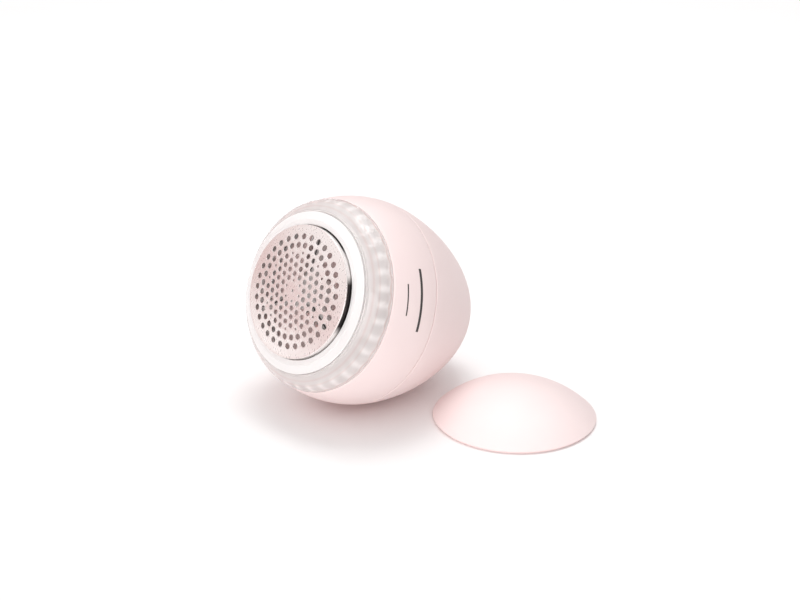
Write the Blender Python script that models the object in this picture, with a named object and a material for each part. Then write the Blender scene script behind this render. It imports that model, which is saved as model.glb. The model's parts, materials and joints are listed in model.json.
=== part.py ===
"""Palm-sized rechargeable fabric shaver lying on its side, with its cap beside it.

The shaver is laid out along its own axis: +Z points out through the cutting foil, +X is the side that
faces up as it lies, and z = 0 is the widest plane of the body. One empty then lays it on the table.
Lengths are metres.
"""

import math

import bmesh
import bpy
from mathutils import Matrix, Vector

MM = 0.001

# Clearances
GAP = 0.3 * MM                    # between pieces that seat on each other
RUNNING_GAP = 0.4 * MM            # between pieces that move past each other
PAST = 1.0 * MM                   # how far a cutter runs past the faces that it opens

# Cutting foil
FOIL_RADIUS = 22.0 * MM
FOIL_EDGE_BEND = 0.5 * MM
FOIL_THICKNESS = 0.2 * MM
FOIL_HEIGHT = 3.9 * MM
FOIL_FLANGE = 1.3 * MM
FOIL_DOME = 2.1 * MM              # how far the foil's middle stands in front of its edge
HOLE_PITCH = 2.82 * MM
HOLE_RADIUS = 0.875 * MM
DOT_RADIUS = 0.425 * MM
RING_HOLE_RADIUS = 1.0 * MM
RING_HOLE_COUNT = 32
INNER_RING_RADIUS = 15.1 * MM
OUTER_RING_RADIUS = 18.0 * MM
FIRST_DOTS_RADIUS = 3.4 * MM
EDGE_DOTS_RADIUS = 12.6 * MM
EDGE_DOTS_ANGLE = math.radians(10.5)
PATTERN_TURN = math.radians(15.0)
RING_TURN = math.radians(-21.0)   # the two rings' turn from the honeycomb

# Foil ring and lint container
RING_LAND = 1.75 * MM             # flat lip round the foil
RING_STEP = 0.2 * MM
RING_SLOPE_WIDTH = 2.7 * MM
RING_SLOPE_DROP = 0.8 * MM
RING_EDGE = 0.3 * MM
RING_WALL = 1.0 * MM
RING_SKIRT = 3.6 * MM
RING_POCKET = 1.6 * MM            # length of the bore that centres the foil's flange
RING_BEVEL = 0.1 * MM
RETAINER_HEIGHT = 1.0 * MM
RETAINER_WIDTH = 2.3 * MM
FOIL_STAND = 2.0 * MM             # how far the foil's face stands in front of the lip
NECK_WALL = 0.8 * MM
NECK_HEIGHT = 0.7 * MM
NECK_LEAD = 0.1 * MM              # bevel of the neck's outer edge
NECK_UNDERCUT = 0.6 * MM          # from the shoulder's ends to the inside's first and last points
SHOULDER_SPREAD = 4.6 * MM
SHOULDER_DROP = 6.7 * MM
SHOULDER_BULGE = 0.9 * MM
BULGE_LIFT = 0.6                  # share of the bulge that goes forward as well as out
CONTAINER_WALL = 1.3 * MM
SPIGOT_WALL = 1.2 * MM
SPIGOT_DEPTH = 1.3 * MM

# Body shells
RIM_FRONT = 15.2 * MM             # rim of the front shell, in front of the widest plane
RIM_MARGIN = 0.1 * MM             # rim's radius past the container's foot
BODY_BULGE = 2.7 * MM             # widest radius less the rim's
SHELL_WALL = 2.2 * MM
SEAM_BACK = 2.6 * MM              # parting line, behind the widest plane
TONGUE_LENGTH = 2.4 * MM
TONGUE_SHARE = 1.0 * MM           # thickness of the rear shell's outer lip over the tongue
TONGUE_LEAD = 0.2 * MM            # taper of the tongue and of its seat
SIDE_RUN = 16.5 * MM              # handle length of the rear curve at its wide end
BACK_FULLNESS = 0.57              # handle of the rear curve at the pole, per body radius
DECK_LIP_WIDTH = 5.4 * MM
DECK_LIP_THICKNESS = 2.6 * MM

# Chassis and its screws
CHASSIS_THICKNESS = 1.8 * MM
COLLAR_HEIGHT = 2.4 * MM
COLLAR_WALL = 0.8 * MM
SCREW_COUNT = 3
SCREW_TURN = math.radians(31.5)    # first case screw's place round the axis
CASE_SCREW_RADIUS = 1.1 * MM
CASE_HEAD_RADIUS = 1.7 * MM
CASE_HEAD_HEIGHT = 1.3 * MM
CASE_SCREW_LENGTH = 14.0 * MM
POST_RADIUS = 2.1 * MM
CASE_SCREW_INSET = 2.8 * MM       # from the rim's radius to the screw's axis
CHASSIS_SCREW_RADIUS = 0.8 * MM
CHASSIS_HEAD_RADIUS = 1.5 * MM
CHASSIS_HEAD_HEIGHT = 1.0 * MM
CHASSIS_SCREW_BITE = 1.6 * MM
CHASSIS_SCREW_INSET = 1.5 * MM    # from the deck opening's radius outwards
CHASSIS_EDGE = 0.9 * MM           # past the case screws' circle, so those screws notch the edge

# Seal under the container
SEAL_WIDTH = 1.8 * MM
SEAL_HEIGHT = 1.0 * MM

# Cutter
SHAFT_RADIUS = 1.0 * MM
HUB_RADIUS = 3.8 * MM
HUB_HEIGHT = 5.6 * MM
CARRIER_WALL = 1.3 * MM
CARRIER_ARM_WIDTH = 4.0 * MM
CARRIER_ARM_HEIGHT = 3.0 * MM
ARM_INSET = 0.4 * MM              # from the carrier's bore to where its arms start
CARRIER_REACH_GAP = 1.2 * MM      # from the arm's end to the inside of the foil's wall
BLADE_COUNT = 3
BLADE_THICKNESS = 0.4 * MM
BLADE_HEIGHT = 3.8 * MM
BLADE_SEAT = 1.2 * MM
BLADE_START = 5.6 * MM

# Motor
MOTOR_RADIUS = 10.0 * MM
MOTOR_LENGTH = 20.0 * MM
MOTOR_SETBACK = 4.2 * MM          # height of the ring that the motor stands on
MOTOR_SEAT_WIDTH = 2.8 * MM
MOTOR_WALL = 0.8 * MM
MOTOR_FRONT_WALL = 1.2 * MM
MOTOR_CAP_HEIGHT = 2.0 * MM
ARMATURE_RADIUS = 6.3 * MM
ARMATURE_LENGTH = 12.0 * MM
MAGNET_ARC = math.radians(120.0)
MAGNET_THICKNESS = 1.8 * MM
COMMUTATOR_RADIUS = 3.2 * MM
COMMUTATOR_LENGTH = 2.6 * MM
MOTOR_SCREW_RADIUS = 0.8 * MM
MOTOR_HEAD_RADIUS = 1.5 * MM
MOTOR_HEAD_HEIGHT = 0.9 * MM

# Cell and its cradle
CELL_RADIUS = 9.0 * MM
CELL_LENGTH = 35.0 * MM
CELL_DROP = 3.0 * MM              # towards the side that the shaver lies on
CELL_SPACE = 1.7 * MM             # between the motor's end cap and the cell
CRADLE_WALL = 1.0 * MM
CRADLE_LENGTH = 30.0 * MM
LEG_WIDTH = 4.0 * MM
LEG_THICKNESS = 2.4 * MM

# Board, switch and button
WIRE_SPACE = 2.0 * MM             # between the cell and the board
BOARD_EDGE_GAP = 1.0 * MM
BOARD_THICKNESS = 1.6 * MM
BOARD_SCREW_CIRCLE = 12.4 * MM
BOARD_SCREW_ANGLE = math.radians(118.0)
BOARD_HEAD_HEIGHT = 0.9 * MM
BOSS_RADIUS = 2.2 * MM
BOSS_FLOOR = 0.4 * MM             # left under a boss's screw hole
BOARD_SCREW_SPARE = 1.0 * MM      # from a board screw's tip to its boss's foot
SWITCH_SIZE = 6.0 * MM
SWITCH_HEIGHT = 3.1 * MM
PLUNGER_RADIUS = 1.7 * MM
PLUNGER_STAND = 1.2 * MM
PLUNGER_DEPTH = 1.2 * MM
BUTTON_RADIUS = 8.0 * MM
BUTTON_TRAVEL = 0.6 * MM
BUTTON_STEM = 3.7 * MM
BUTTON_STEM_RADIUS = 2.5 * MM
BUTTON_SKIN = 2.0 * MM
BUTTON_SIDE_WALL = 1.2 * MM
BUTTON_FLANGE = 1.2 * MM
BUTTON_FLANGE_HEIGHT = 0.8 * MM

# Charging socket and light pipe
SOCKET_WIDTH = 7.5 * MM
SOCKET_HEIGHT = 2.6 * MM
SOCKET_DEPTH = 5.6 * MM
SOCKET_WALL = 0.3 * MM
TONGUE_HALF = 0.3 * MM            # half the contact tongue's thickness
SOCKET_RECESS = 1.0 * MM          # from the shell's inner face to the socket's mouth
LIGHT_RADIUS = 0.8 * MM
LIGHT_LENGTH = 4.0 * MM
LIGHT_OFFSET = 7.0 * MM

# Wires
WIRE_RADIUS = 0.6 * MM
WIRE_BOW = 1.0 * MM               # slack in a wire's bends
MOTOR_WIRE_OFFSET = 4.0 * MM
MOTOR_WIRE_START = 6.0 * MM
BOARD_PAD_INSET = 4.0 * MM        # from the board's edge to where the cell's wires end

# Cap
CAP_HEIGHT = 11.35 * MM
CAP_RIM_LIFT = 0.8 * MM
CAP_WALL = 1.3 * MM
CAP_OVERHANG = 0.75 * MM
CAP_RING_WALL = 1.2 * MM

# How the two pieces lie on the table
AXIS_TURN = math.radians(44.4)    # the foil looks away from this azimuth
AXIS_RISE = math.radians(22.78)   # the foil looks up by this much
CAP_PLACE = (54.79 * MM, -14.25 * MM)

# Facets
BODY_SEGMENTS = 48
RING_SEGMENTS = 36
SMALL_SEGMENTS = 20
SCREW_SEGMENTS = 8
BACK_STEPS = 9
NOSE_STEPS = 4
SHOULDER_STEPS = 4
DOME_STEPS = 6
FOIL_STEPS = 3

# Places along the axis and radii that follow from the sizes above
RING_LIP_RADIUS = FOIL_RADIUS + GAP + RING_LAND
RING_OUTER_RADIUS = RING_LIP_RADIUS + RING_SLOPE_WIDTH
NECK_OUTER_RADIUS = RING_OUTER_RADIUS + NECK_WALL
RIM_RADIUS = NECK_OUTER_RADIUS + SHOULDER_SPREAD + RIM_MARGIN
BODY_RADIUS = RIM_RADIUS + BODY_BULGE
NOSE_LENGTH = RIM_FRONT / math.sqrt(1 - (RIM_RADIUS / BODY_RADIUS) ** 2)
DECK_OPENING = RIM_RADIUS - DECK_LIP_WIDTH
CONTAINER_BASE = RIM_FRONT + GAP
NECK_BASE = CONTAINER_BASE + SHOULDER_DROP
NECK_TOP = NECK_BASE + NECK_HEIGHT
RING_SEAT = NECK_TOP + GAP
RING_TOP = RING_SEAT + RING_EDGE + RING_SLOPE_DROP + RING_STEP
FOIL_FACE = RING_TOP + FOIL_STAND
FOIL_FLANGE_BASE = FOIL_FACE - FOIL_HEIGHT
LIP_BACK = RIM_FRONT - DECK_LIP_THICKNESS
CHASSIS_FRONT = LIP_BACK - GAP
CHASSIS_BACK = CHASSIS_FRONT - CHASSIS_THICKNESS
MOTOR_SEAT = CHASSIS_BACK - MOTOR_SETBACK
MOTOR_FRONT = MOTOR_SEAT - GAP
MOTOR_BACK = MOTOR_FRONT - MOTOR_LENGTH
MOTOR_CAP_BACK = MOTOR_BACK - GAP - MOTOR_CAP_HEIGHT
CELL_Z = MOTOR_CAP_BACK - CELL_SPACE - CELL_RADIUS
BOARD_FRONT = CELL_Z - CELL_RADIUS - WIRE_SPACE
BOARD_BACK = BOARD_FRONT - BOARD_THICKNESS
SWITCH_BACK = BOARD_BACK - GAP - SWITCH_HEIGHT
PLUNGER_BACK = SWITCH_BACK - PLUNGER_STAND
STEM_FRONT = PLUNGER_BACK - GAP
BACK_LENGTH = -STEM_FRONT + BUTTON_STEM + BUTTON_SKIN
CASE_SCREW_CIRCLE = RIM_RADIUS - CASE_SCREW_INSET
CHASSIS_SCREW_CIRCLE = DECK_OPENING + CHASSIS_SCREW_INSET
MOTOR_SCREW_CIRCLE = MOTOR_RADIUS - MOTOR_SEAT_WIDTH / 2
CAP_RADIUS = NECK_OUTER_RADIUS


# Materials

def finish(name, colour, roughness, metallic=0.0, transmission=0.0):
    material = bpy.data.materials.new(name)
    material.use_nodes = True
    shader = material.node_tree.nodes["Principled BSDF"]
    shader.inputs["Base Color"].default_value = (*colour, 1.0)
    shader.inputs["Roughness"].default_value = roughness
    shader.inputs["Metallic"].default_value = metallic
    shader.inputs["Transmission Weight"].default_value = transmission
    return material


# Shapes

def add_object(name, bm, material, parent):
    """Puts a finished mesh into the scene as one named piece."""
    mesh = bpy.data.meshes.new(name)
    bmesh.ops.recalc_face_normals(bm, faces=bm.faces)
    bm.to_mesh(mesh)
    bm.free()
    mesh.shade_smooth()
    mesh.set_sharp_from_angle(angle=math.radians(35.0))
    mesh.materials.append(material)
    piece = bpy.data.objects.new(name, mesh)
    piece.parent = parent
    bpy.context.scene.collection.objects.link(piece)
    return piece


def turned(name, outline, material, parent, segments=BODY_SEGMENTS):
    """Turns an outline of (radius, z) points about Z into one closed solid."""
    bm = bmesh.new()
    verts = [bm.verts.new((radius, 0.0, z)) for radius, z in outline]
    edges = [bm.edges.new(pair) for pair in zip(verts, verts[1:])]
    meets_axis = outline[0][0] == 0.0 and outline[-1][0] == 0.0
    if not meets_axis:
        edges.append(bm.edges.new((verts[-1], verts[0])))
    bmesh.ops.spin(bm, geom=verts + edges, angle=math.tau, steps=segments,
                   axis=(0, 0, 1), cent=(0, 0, 0), use_merge=True)
    bmesh.ops.remove_doubles(bm, verts=bm.verts, dist=1e-6)
    poles = [v for v in bm.verts if v.co.xy.length < 1e-7]
    flat_poles = [v for v in poles if is_flat_fan(v)]
    bmesh.ops.dissolve_verts(bm, verts=flat_poles)
    return add_object(name, bm, material, parent)


def is_flat_fan(pole):
    heights = [edge.other_vert(pole).co.z for edge in pole.link_edges]
    return max(abs(height - pole.co.z) for height in heights) < 1e-7


def rod(name, radius, start, end, material, parent, sides=SMALL_SEGMENTS):
    """Cylinder between two points."""
    start, end = Vector(start), Vector(end)
    along = end - start
    bm = bmesh.new()
    turn = along.to_track_quat("Z", "Y").to_matrix().to_4x4()
    place = Matrix.Translation((start + end) / 2) @ turn
    bmesh.ops.create_cone(bm, cap_ends=True, segments=sides, radius1=radius, radius2=radius,
                          depth=along.length, matrix=place)
    return add_object(name, bm, material, parent)


def block(name, low, high, material, parent, turn=0.0):
    """Box between two corners, turned about Z."""
    low, high = Vector(low), Vector(high)
    bm = bmesh.new()
    place = (Matrix.Rotation(turn, 4, "Z") @ Matrix.Translation((low + high) / 2)
             @ Matrix.Diagonal((*(high - low), 1.0)))
    bmesh.ops.create_cube(bm, size=1.0, matrix=place)
    return add_object(name, bm, material, parent)


def blade(name, start, reach, half, back, front, material, parent, turn):
    """Upright strip along +X whose front edge follows the foil's dome, turned about Z."""
    stations = [start + (reach - start) * i / FOIL_STEPS for i in range(FOIL_STEPS + 1)]
    outline = [(reach, back), (start, back)] + [(x, front + dome_rise(x)) for x in stations]
    bm = bmesh.new()
    sides = [[bm.verts.new((x, y, z)) for x, z in outline] for y in (-half, half)]
    bm.faces.new(sides[0])
    bm.faces.new(sides[1][::-1])
    for k in range(len(outline)):
        bm.faces.new((sides[0][k], sides[0][k - 1], sides[1][k - 1], sides[1][k]))
    bm.transform(Matrix.Rotation(turn, 4, "Z"))
    return add_object(name, bm, material, parent)


def arc_block(name, inner, outer, back, front, middle, spread, steps, material, parent, lie=None):
    """Part of a tube wall, from middle - spread / 2 to middle + spread / 2."""
    bm = bmesh.new()
    rows = []
    for i in range(steps + 1):
        angle = middle - spread / 2 + spread * i / steps
        across = Vector((math.cos(angle), math.sin(angle), 0.0))
        corners = [(inner, back), (outer, back), (outer, front), (inner, front)]
        rows.append([bm.verts.new(across * r + Vector((0, 0, z))) for r, z in corners])
    for here, there in zip(rows, rows[1:]):
        for k in range(4):
            bm.faces.new((here[k], here[k - 1], there[k - 1], there[k]))
    bm.faces.new(rows[0])
    bm.faces.new(rows[-1][::-1])
    if lie is not None:
        bm.transform(lie)
    return add_object(name, bm, material, parent)


def wire(name, stops, material, parent):
    """Round wire through a few stops, smoothed, with filled ends."""
    route = [Vector(stop) for stop in stops]
    for _ in range(2):
        inner = []
        for a, b in zip(route, route[1:]):
            inner += [a.lerp(b, 0.25), a.lerp(b, 0.75)]
        route = [route[0]] + inner + [route[-1]]
    curve = bpy.data.curves.new(name, "CURVE")
    curve.dimensions = "3D"
    curve.bevel_depth = WIRE_RADIUS
    curve.bevel_resolution = 1
    curve.use_fill_caps = True
    curve.materials.append(material)
    spline = curve.splines.new("POLY")
    spline.points.add(len(route) - 1)
    for point, place in zip(spline.points, route):
        point.co = (*place, 1.0)
    piece = bpy.data.objects.new(name, curve)
    piece.parent = parent
    bpy.context.scene.collection.objects.link(piece)
    return piece


def combine(target, other, operation):
    """Cuts the other shape from the target, or joins it on, and keeps it as a guide."""
    other.hide_render = True
    other.display_type = "WIRE"
    other.name = f"guide_{target.name}_{other.name}"
    modifier = target.modifiers.new(other.name, "BOOLEAN")
    modifier.operation = operation
    modifier.object = other
    modifier.solver = "EXACT"


def cut(target, other):
    combine(target, other, "DIFFERENCE")


def join(target, other):
    combine(target, other, "UNION")


def around(radius, angle, z=0.0):
    return Vector((radius * math.cos(angle), radius * math.sin(angle), z))


def screw(name, place, head_radius, head_height, shank_radius, length, material, parent, forward):
    """Pan-head screw whose head's underside is at place, with its shank forward (+Z) or back."""
    side = 1.0 if forward else -1.0
    outline = [(0.0, -side * head_height * 0.45), (head_radius * 0.45, -side * head_height),
               (head_radius * 0.85, -side * head_height), (head_radius, 0.0), (shank_radius, 0.0),
               (shank_radius, side * length), (0.0, side * length)]
    piece = turned(name, outline, material, parent, SCREW_SEGMENTS)
    piece.location = place
    return piece


# The body's outline

def nose_radius(z):
    """Ellipse from the widest plane to the rim."""
    return BODY_RADIUS * math.sqrt(1 - (z / NOSE_LENGTH) ** 2)


def back_curve(t):
    """Bezier curve from the widest plane (t = 0) to the rear pole (t = 1), and its outward normal."""
    points = [(BODY_RADIUS, 0.0), (BODY_RADIUS, -SIDE_RUN),
              (BODY_RADIUS * BACK_FULLNESS, -BACK_LENGTH), (0.0, -BACK_LENGTH)]
    weights = [(1 - t) ** 3, 3 * t * (1 - t) ** 2, 3 * t * t * (1 - t), t ** 3]
    slopes = [-3 * (1 - t) ** 2, 3 * (1 - t) * (1 - 3 * t), 3 * t * (2 - 3 * t), 3 * t * t]
    place = Vector((sum(w * p[0] for w, p in zip(weights, points)),
                    sum(w * p[1] for w, p in zip(weights, points))))
    run = Vector((sum(s * p[0] for s, p in zip(slopes, points)),
                  sum(s * p[1] for s, p in zip(slopes, points)))).normalized()
    return place, Vector((-run.y, run.x))


def back_point(t, inset):
    place, normal = back_curve(t)
    return place - inset * normal


def back_parameter(is_past, inset):
    """The t where the inset curve first satisfies the test, found by halving."""
    low, high = 0.0, 1.0
    for _ in range(40):
        middle = (low + high) / 2
        if is_past(back_point(middle, inset)):
            high = middle
        else:
            low = middle
    return high


def back_run(inset, from_z, to_radius, steps=BACK_STEPS):
    """Points of the inset rear curve, from a plane behind the widest one to a radius near the pole."""
    start = back_parameter(lambda p: p.y < from_z, inset)
    stop = back_parameter(lambda p: p.x < to_radius, inset)
    return [tuple(back_point(start + (stop - start) * i / steps, inset)) for i in range(steps + 1)]


def back_radius(z, inset):
    return back_point(back_parameter(lambda p: p.y < z, inset), inset).x


def board_radius():
    """The board fills the rear shell where it sits, less a gap."""
    return back_radius(BOARD_BACK, SHELL_WALL) - BOARD_EDGE_GAP


def nose_run(inset, from_z, to_z, steps=NOSE_STEPS):
    levels = [from_z + (to_z - from_z) * i / steps for i in range(steps + 1)]
    return [(nose_radius(z) - inset, z) for z in levels]


# Body pieces

def make_front_shell(material, parent):
    seam = -SEAM_BACK
    tongue_end = seam - TONGUE_LENGTH
    tongue_out = back_radius(seam, 0.0) - TONGUE_SHARE - GAP
    outline = [(back_radius(seam, 0.0), seam)]
    outline += nose_run(0.0, 0.0, RIM_FRONT)
    outline += [(DECK_OPENING, RIM_FRONT), (DECK_OPENING, LIP_BACK)]
    outline += nose_run(SHELL_WALL, LIP_BACK, 0.0, 3)
    outline += [(back_radius(tongue_end, SHELL_WALL), tongue_end), (tongue_out - TONGUE_LEAD, tongue_end),
                (tongue_out, seam)]
    shell = turned("front_shell", outline, material, parent)
    for i in range(SCREW_COUNT):
        angle = SCREW_TURN + math.tau * i / SCREW_COUNT
        place = around(CASE_SCREW_CIRCLE, angle)
        head_seat = RIM_FRONT - CASE_HEAD_HEIGHT - GAP
        cut(shell, rod(f"hole_{i}", CASE_SCREW_RADIUS + GAP, place + Vector((0, 0, LIP_BACK - PAST)),
                       place + Vector((0, 0, RIM_FRONT + PAST)), material, parent, SCREW_SEGMENTS))
        cut(shell, rod(f"head_{i}", CASE_HEAD_RADIUS + GAP, place + Vector((0, 0, head_seat)),
                       place + Vector((0, 0, RIM_FRONT + PAST)), material, parent, SCREW_SEGMENTS))
        place = around(CHASSIS_SCREW_CIRCLE, angle + math.pi / SCREW_COUNT)
        cut(shell, rod(f"bite_{i}", CHASSIS_SCREW_RADIUS + GAP, place + Vector((0, 0, LIP_BACK - PAST)),
                       place + Vector((0, 0, LIP_BACK + CHASSIS_SCREW_BITE + GAP)), material, parent,
                       SCREW_SEGMENTS))
    return shell


def make_rear_shell(material, parent):
    front = -SEAM_BACK - GAP
    shoulder = front - TONGUE_LENGTH
    lip_in = back_radius(-SEAM_BACK, 0.0) - TONGUE_SHARE
    hole = BUTTON_RADIUS + RUNNING_GAP
    outline = back_run(0.0, front, hole)
    outline += back_run(SHELL_WALL, shoulder, hole, BACK_STEPS - 3)[::-1]
    outline += [(lip_in - TONGUE_LEAD, shoulder), (lip_in, front)]
    shell = turned("rear_shell", outline, material, parent)
    post_top = CHASSIS_BACK - GAP
    for i in range(SCREW_COUNT):
        place = around(CASE_SCREW_CIRCLE, SCREW_TURN + math.tau * i / SCREW_COUNT)
        foot = back_run(SHELL_WALL / 2, shoulder, CASE_SCREW_CIRCLE + POST_RADIUS)[-1][1]
        join(shell, rod(f"post_{i}", POST_RADIUS, place + Vector((0, 0, foot)),
                        place + Vector((0, 0, post_top)), material, parent, SCREW_SEGMENTS))
        cut(shell, rod(f"post_hole_{i}", CASE_SCREW_RADIUS + GAP,
                       place + Vector((0, 0, post_top - CASE_SCREW_LENGTH)),
                       place + Vector((0, 0, post_top + PAST)), material, parent, SCREW_SEGMENTS))
    for i, side in enumerate((1, -1)):
        place = around(BOARD_SCREW_CIRCLE, side * BOARD_SCREW_ANGLE)
        foot = back_run(SHELL_WALL / 2, shoulder, BOARD_SCREW_CIRCLE + BOSS_RADIUS)[-1][1]
        join(shell, rod(f"boss_{i}", BOSS_RADIUS, place + Vector((0, 0, foot)),
                        place + Vector((0, 0, BOARD_BACK - GAP)), material, parent, SCREW_SEGMENTS))
        cut(shell, rod(f"boss_hole_{i}", MOTOR_SCREW_RADIUS + GAP, place + Vector((0, 0, foot + BOSS_FLOOR)),
                       place + Vector((0, 0, BOARD_BACK + PAST)), material, parent, SCREW_SEGMENTS))
    socket_z = BOARD_FRONT + GAP + SOCKET_HEIGHT / 2
    reach = BODY_RADIUS + PAST
    half = Vector((0, SOCKET_WIDTH / 2 + GAP, SOCKET_HEIGHT / 2 + GAP))
    mouth = Vector((board_radius() - SOCKET_DEPTH, 0, socket_z))
    cut(shell, block("socket_window", mouth - half, mouth + half + Vector((reach, 0, 0)), material, parent))
    light = Vector((0, LIGHT_OFFSET, socket_z))
    cut(shell, rod("light_hole", LIGHT_RADIUS + GAP, light + Vector((board_radius(), 0, 0)),
                   light + Vector((reach, 0, 0)), material, parent, SCREW_SEGMENTS))
    return shell


def make_chassis(material, parent):
    outer = CASE_SCREW_CIRCLE + CHASSIS_EDGE
    collar_in = HUB_RADIUS + RUNNING_GAP + CARRIER_WALL + RUNNING_GAP
    seat_in = MOTOR_RADIUS - MOTOR_SEAT_WIDTH
    outline = [(SHAFT_RADIUS + RUNNING_GAP, CHASSIS_BACK), (seat_in, CHASSIS_BACK), (seat_in, MOTOR_SEAT),
               (MOTOR_RADIUS, MOTOR_SEAT), (MOTOR_RADIUS, CHASSIS_BACK), (outer, CHASSIS_BACK),
               (outer, CHASSIS_FRONT),
               (collar_in + COLLAR_WALL, CHASSIS_FRONT),
               (collar_in + COLLAR_WALL, CHASSIS_FRONT + COLLAR_HEIGHT),
               (collar_in, CHASSIS_FRONT + COLLAR_HEIGHT), (collar_in, CHASSIS_FRONT),
               (SHAFT_RADIUS + RUNNING_GAP, CHASSIS_FRONT)]
    plate = turned("chassis_plate", outline, material, parent)
    below = Vector((0, 0, CHASSIS_BACK - PAST))
    above = Vector((0, 0, CHASSIS_FRONT + PAST))
    for i in range(SCREW_COUNT):
        angle = SCREW_TURN + math.tau * i / SCREW_COUNT
        place = around(CASE_SCREW_CIRCLE, angle)
        cut(plate, rod(f"pass_{i}", CASE_SCREW_RADIUS + GAP, place + below, place + above,
                       material, parent, SCREW_SEGMENTS))
        place = around(CHASSIS_SCREW_CIRCLE, angle + math.pi / SCREW_COUNT)
        cut(plate, rod(f"fix_{i}", CHASSIS_SCREW_RADIUS + GAP, place + below, place + above,
                       material, parent, SCREW_SEGMENTS))
    return plate


def make_screws(steel, parent):
    for i in range(SCREW_COUNT):
        angle = SCREW_TURN + math.tau * i / SCREW_COUNT
        screw(f"case_screw_{i + 1}", around(CASE_SCREW_CIRCLE, angle, RIM_FRONT - CASE_HEAD_HEIGHT),
              CASE_HEAD_RADIUS, CASE_HEAD_HEIGHT, CASE_SCREW_RADIUS, CASE_SCREW_LENGTH, steel, parent, False)
        screw(f"chassis_screw_{i + 1}",
              around(CHASSIS_SCREW_CIRCLE, angle + math.pi / SCREW_COUNT, CHASSIS_BACK - GAP),
              CHASSIS_HEAD_RADIUS, CHASSIS_HEAD_HEIGHT, CHASSIS_SCREW_RADIUS,
              CHASSIS_THICKNESS + 2 * GAP + CHASSIS_SCREW_BITE, steel, parent, True)


# Container, foil ring and foil

def make_container(material, parent):
    base_out = NECK_OUTER_RADIUS + SHOULDER_SPREAD
    spigot = DECK_OPENING - GAP
    neck_in = RING_OUTER_RADIUS
    shoulder = []
    for i in range(SHOULDER_STEPS + 1):
        share = i / SHOULDER_STEPS
        bulge = SHOULDER_BULGE * math.sin(math.pi * share)
        shoulder.append((base_out - SHOULDER_SPREAD * share + bulge,
                         CONTAINER_BASE + SHOULDER_DROP * share + bulge * BULGE_LIFT))
    inside = [(radius - CONTAINER_WALL, z - CONTAINER_WALL / 2) for radius, z in shoulder[1:-1]]
    outline = shoulder
    outline += [(NECK_OUTER_RADIUS - NECK_LEAD, NECK_TOP), (neck_in, NECK_TOP)]
    outline += [(neck_in, NECK_BASE - NECK_UNDERCUT)]
    outline += inside[::-1]
    outline += [(spigot - SPIGOT_WALL, CONTAINER_BASE + NECK_UNDERCUT),
                (spigot - SPIGOT_WALL, CONTAINER_BASE - SPIGOT_DEPTH),
                (spigot, CONTAINER_BASE - SPIGOT_DEPTH), (spigot, CONTAINER_BASE)]
    return turned("lint_container", outline, material, parent)


def make_seal(material, parent):
    outer = DECK_OPENING - GAP
    back = CHASSIS_FRONT + GAP
    outline = [(outer - SEAL_WIDTH, back), (outer, back), (outer, back + SEAL_HEIGHT),
               (outer - SEAL_WIDTH, back + SEAL_HEIGHT)]
    return turned("container_seal", outline, material, parent, RING_SEGMENTS)


def make_foil_ring(material, parent):
    bore = FOIL_RADIUS + GAP
    skirt_out = RING_OUTER_RADIUS - GAP
    pocket = FOIL_RADIUS + FOIL_FLANGE + GAP
    land_back = FOIL_FLANGE_BASE + FOIL_THICKNESS + GAP
    skirt_end = RING_SEAT - RING_SKIRT
    outline = [(bore, RING_TOP), (RING_LIP_RADIUS, RING_TOP),
               (RING_LIP_RADIUS + RING_BEVEL, RING_TOP - RING_STEP),
               (RING_OUTER_RADIUS, RING_SEAT + RING_EDGE), (RING_OUTER_RADIUS, RING_SEAT),
               (skirt_out, RING_SEAT), (skirt_out, skirt_end), (skirt_out - RING_WALL, skirt_end),
               (pocket, land_back - RING_POCKET), (pocket, land_back), (bore, land_back)]
    return turned("foil_ring", outline, material, parent)


def make_retainer(material, parent):
    outer = FOIL_RADIUS + FOIL_FLANGE
    front = FOIL_FLANGE_BASE - GAP
    outline = [(outer - RETAINER_WIDTH, front - RETAINER_HEIGHT), (outer, front - RETAINER_HEIGHT),
               (outer, front), (outer - RETAINER_WIDTH, front)]
    return turned("foil_retainer", outline, material, parent, RING_SEGMENTS)


def hex_sites(ring):
    """Places of one hexagon of the lattice: (step along its side, place)."""
    sites = []
    for side in range(6):
        corner = around(HOLE_PITCH * ring, math.tau * side / 6)
        along = around(HOLE_PITCH, math.tau * (side + 2) / 6)
        sites += [(step, corner + along * step) for step in range(ring)]
    return sites


def foil_holes():
    """Every hole of the foil: (place, radius, number of sides)."""
    holes = [(Vector((0, 0, 0)), DOT_RADIUS, 4)]
    holes += [(around(FIRST_DOTS_RADIUS, math.tau * i / 6), DOT_RADIUS, 4) for i in range(6)]
    for ring in (2, 3, 4):
        holes += [(place, HOLE_RADIUS, 6) for _, place in hex_sites(ring)]
    holes += [(place, HOLE_RADIUS, 6) for step, place in hex_sites(5) if step in (2, 3)]
    for i in range(6):
        for side in (1, -1):
            angle = math.tau * i / 6 + side * EDGE_DOTS_ANGLE
            holes.append((around(EDGE_DOTS_RADIUS, angle), DOT_RADIUS, 4))
    for radius, shift in ((INNER_RING_RADIUS, 0.0), (OUTER_RING_RADIUS, 0.5)):
        for i in range(RING_HOLE_COUNT):
            place = around(radius, RING_TURN + math.tau * (i + shift) / RING_HOLE_COUNT)
            holes.append((place, RING_HOLE_RADIUS, 6))
    return holes


def dome_rise(radius):
    """How far the foil stands in front of its edge at a radius: a shallow parabola."""
    return FOIL_DOME * (1 - (radius / (FOIL_RADIUS - FOIL_EDGE_BEND)) ** 2)


def foil_dome(edge, front):
    """Points of the dome from the axis to the edge."""
    radii = [edge * i / FOIL_STEPS for i in range(FOIL_STEPS + 1)]
    return [(radius, front + dome_rise(radius)) for radius in radii]


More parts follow.
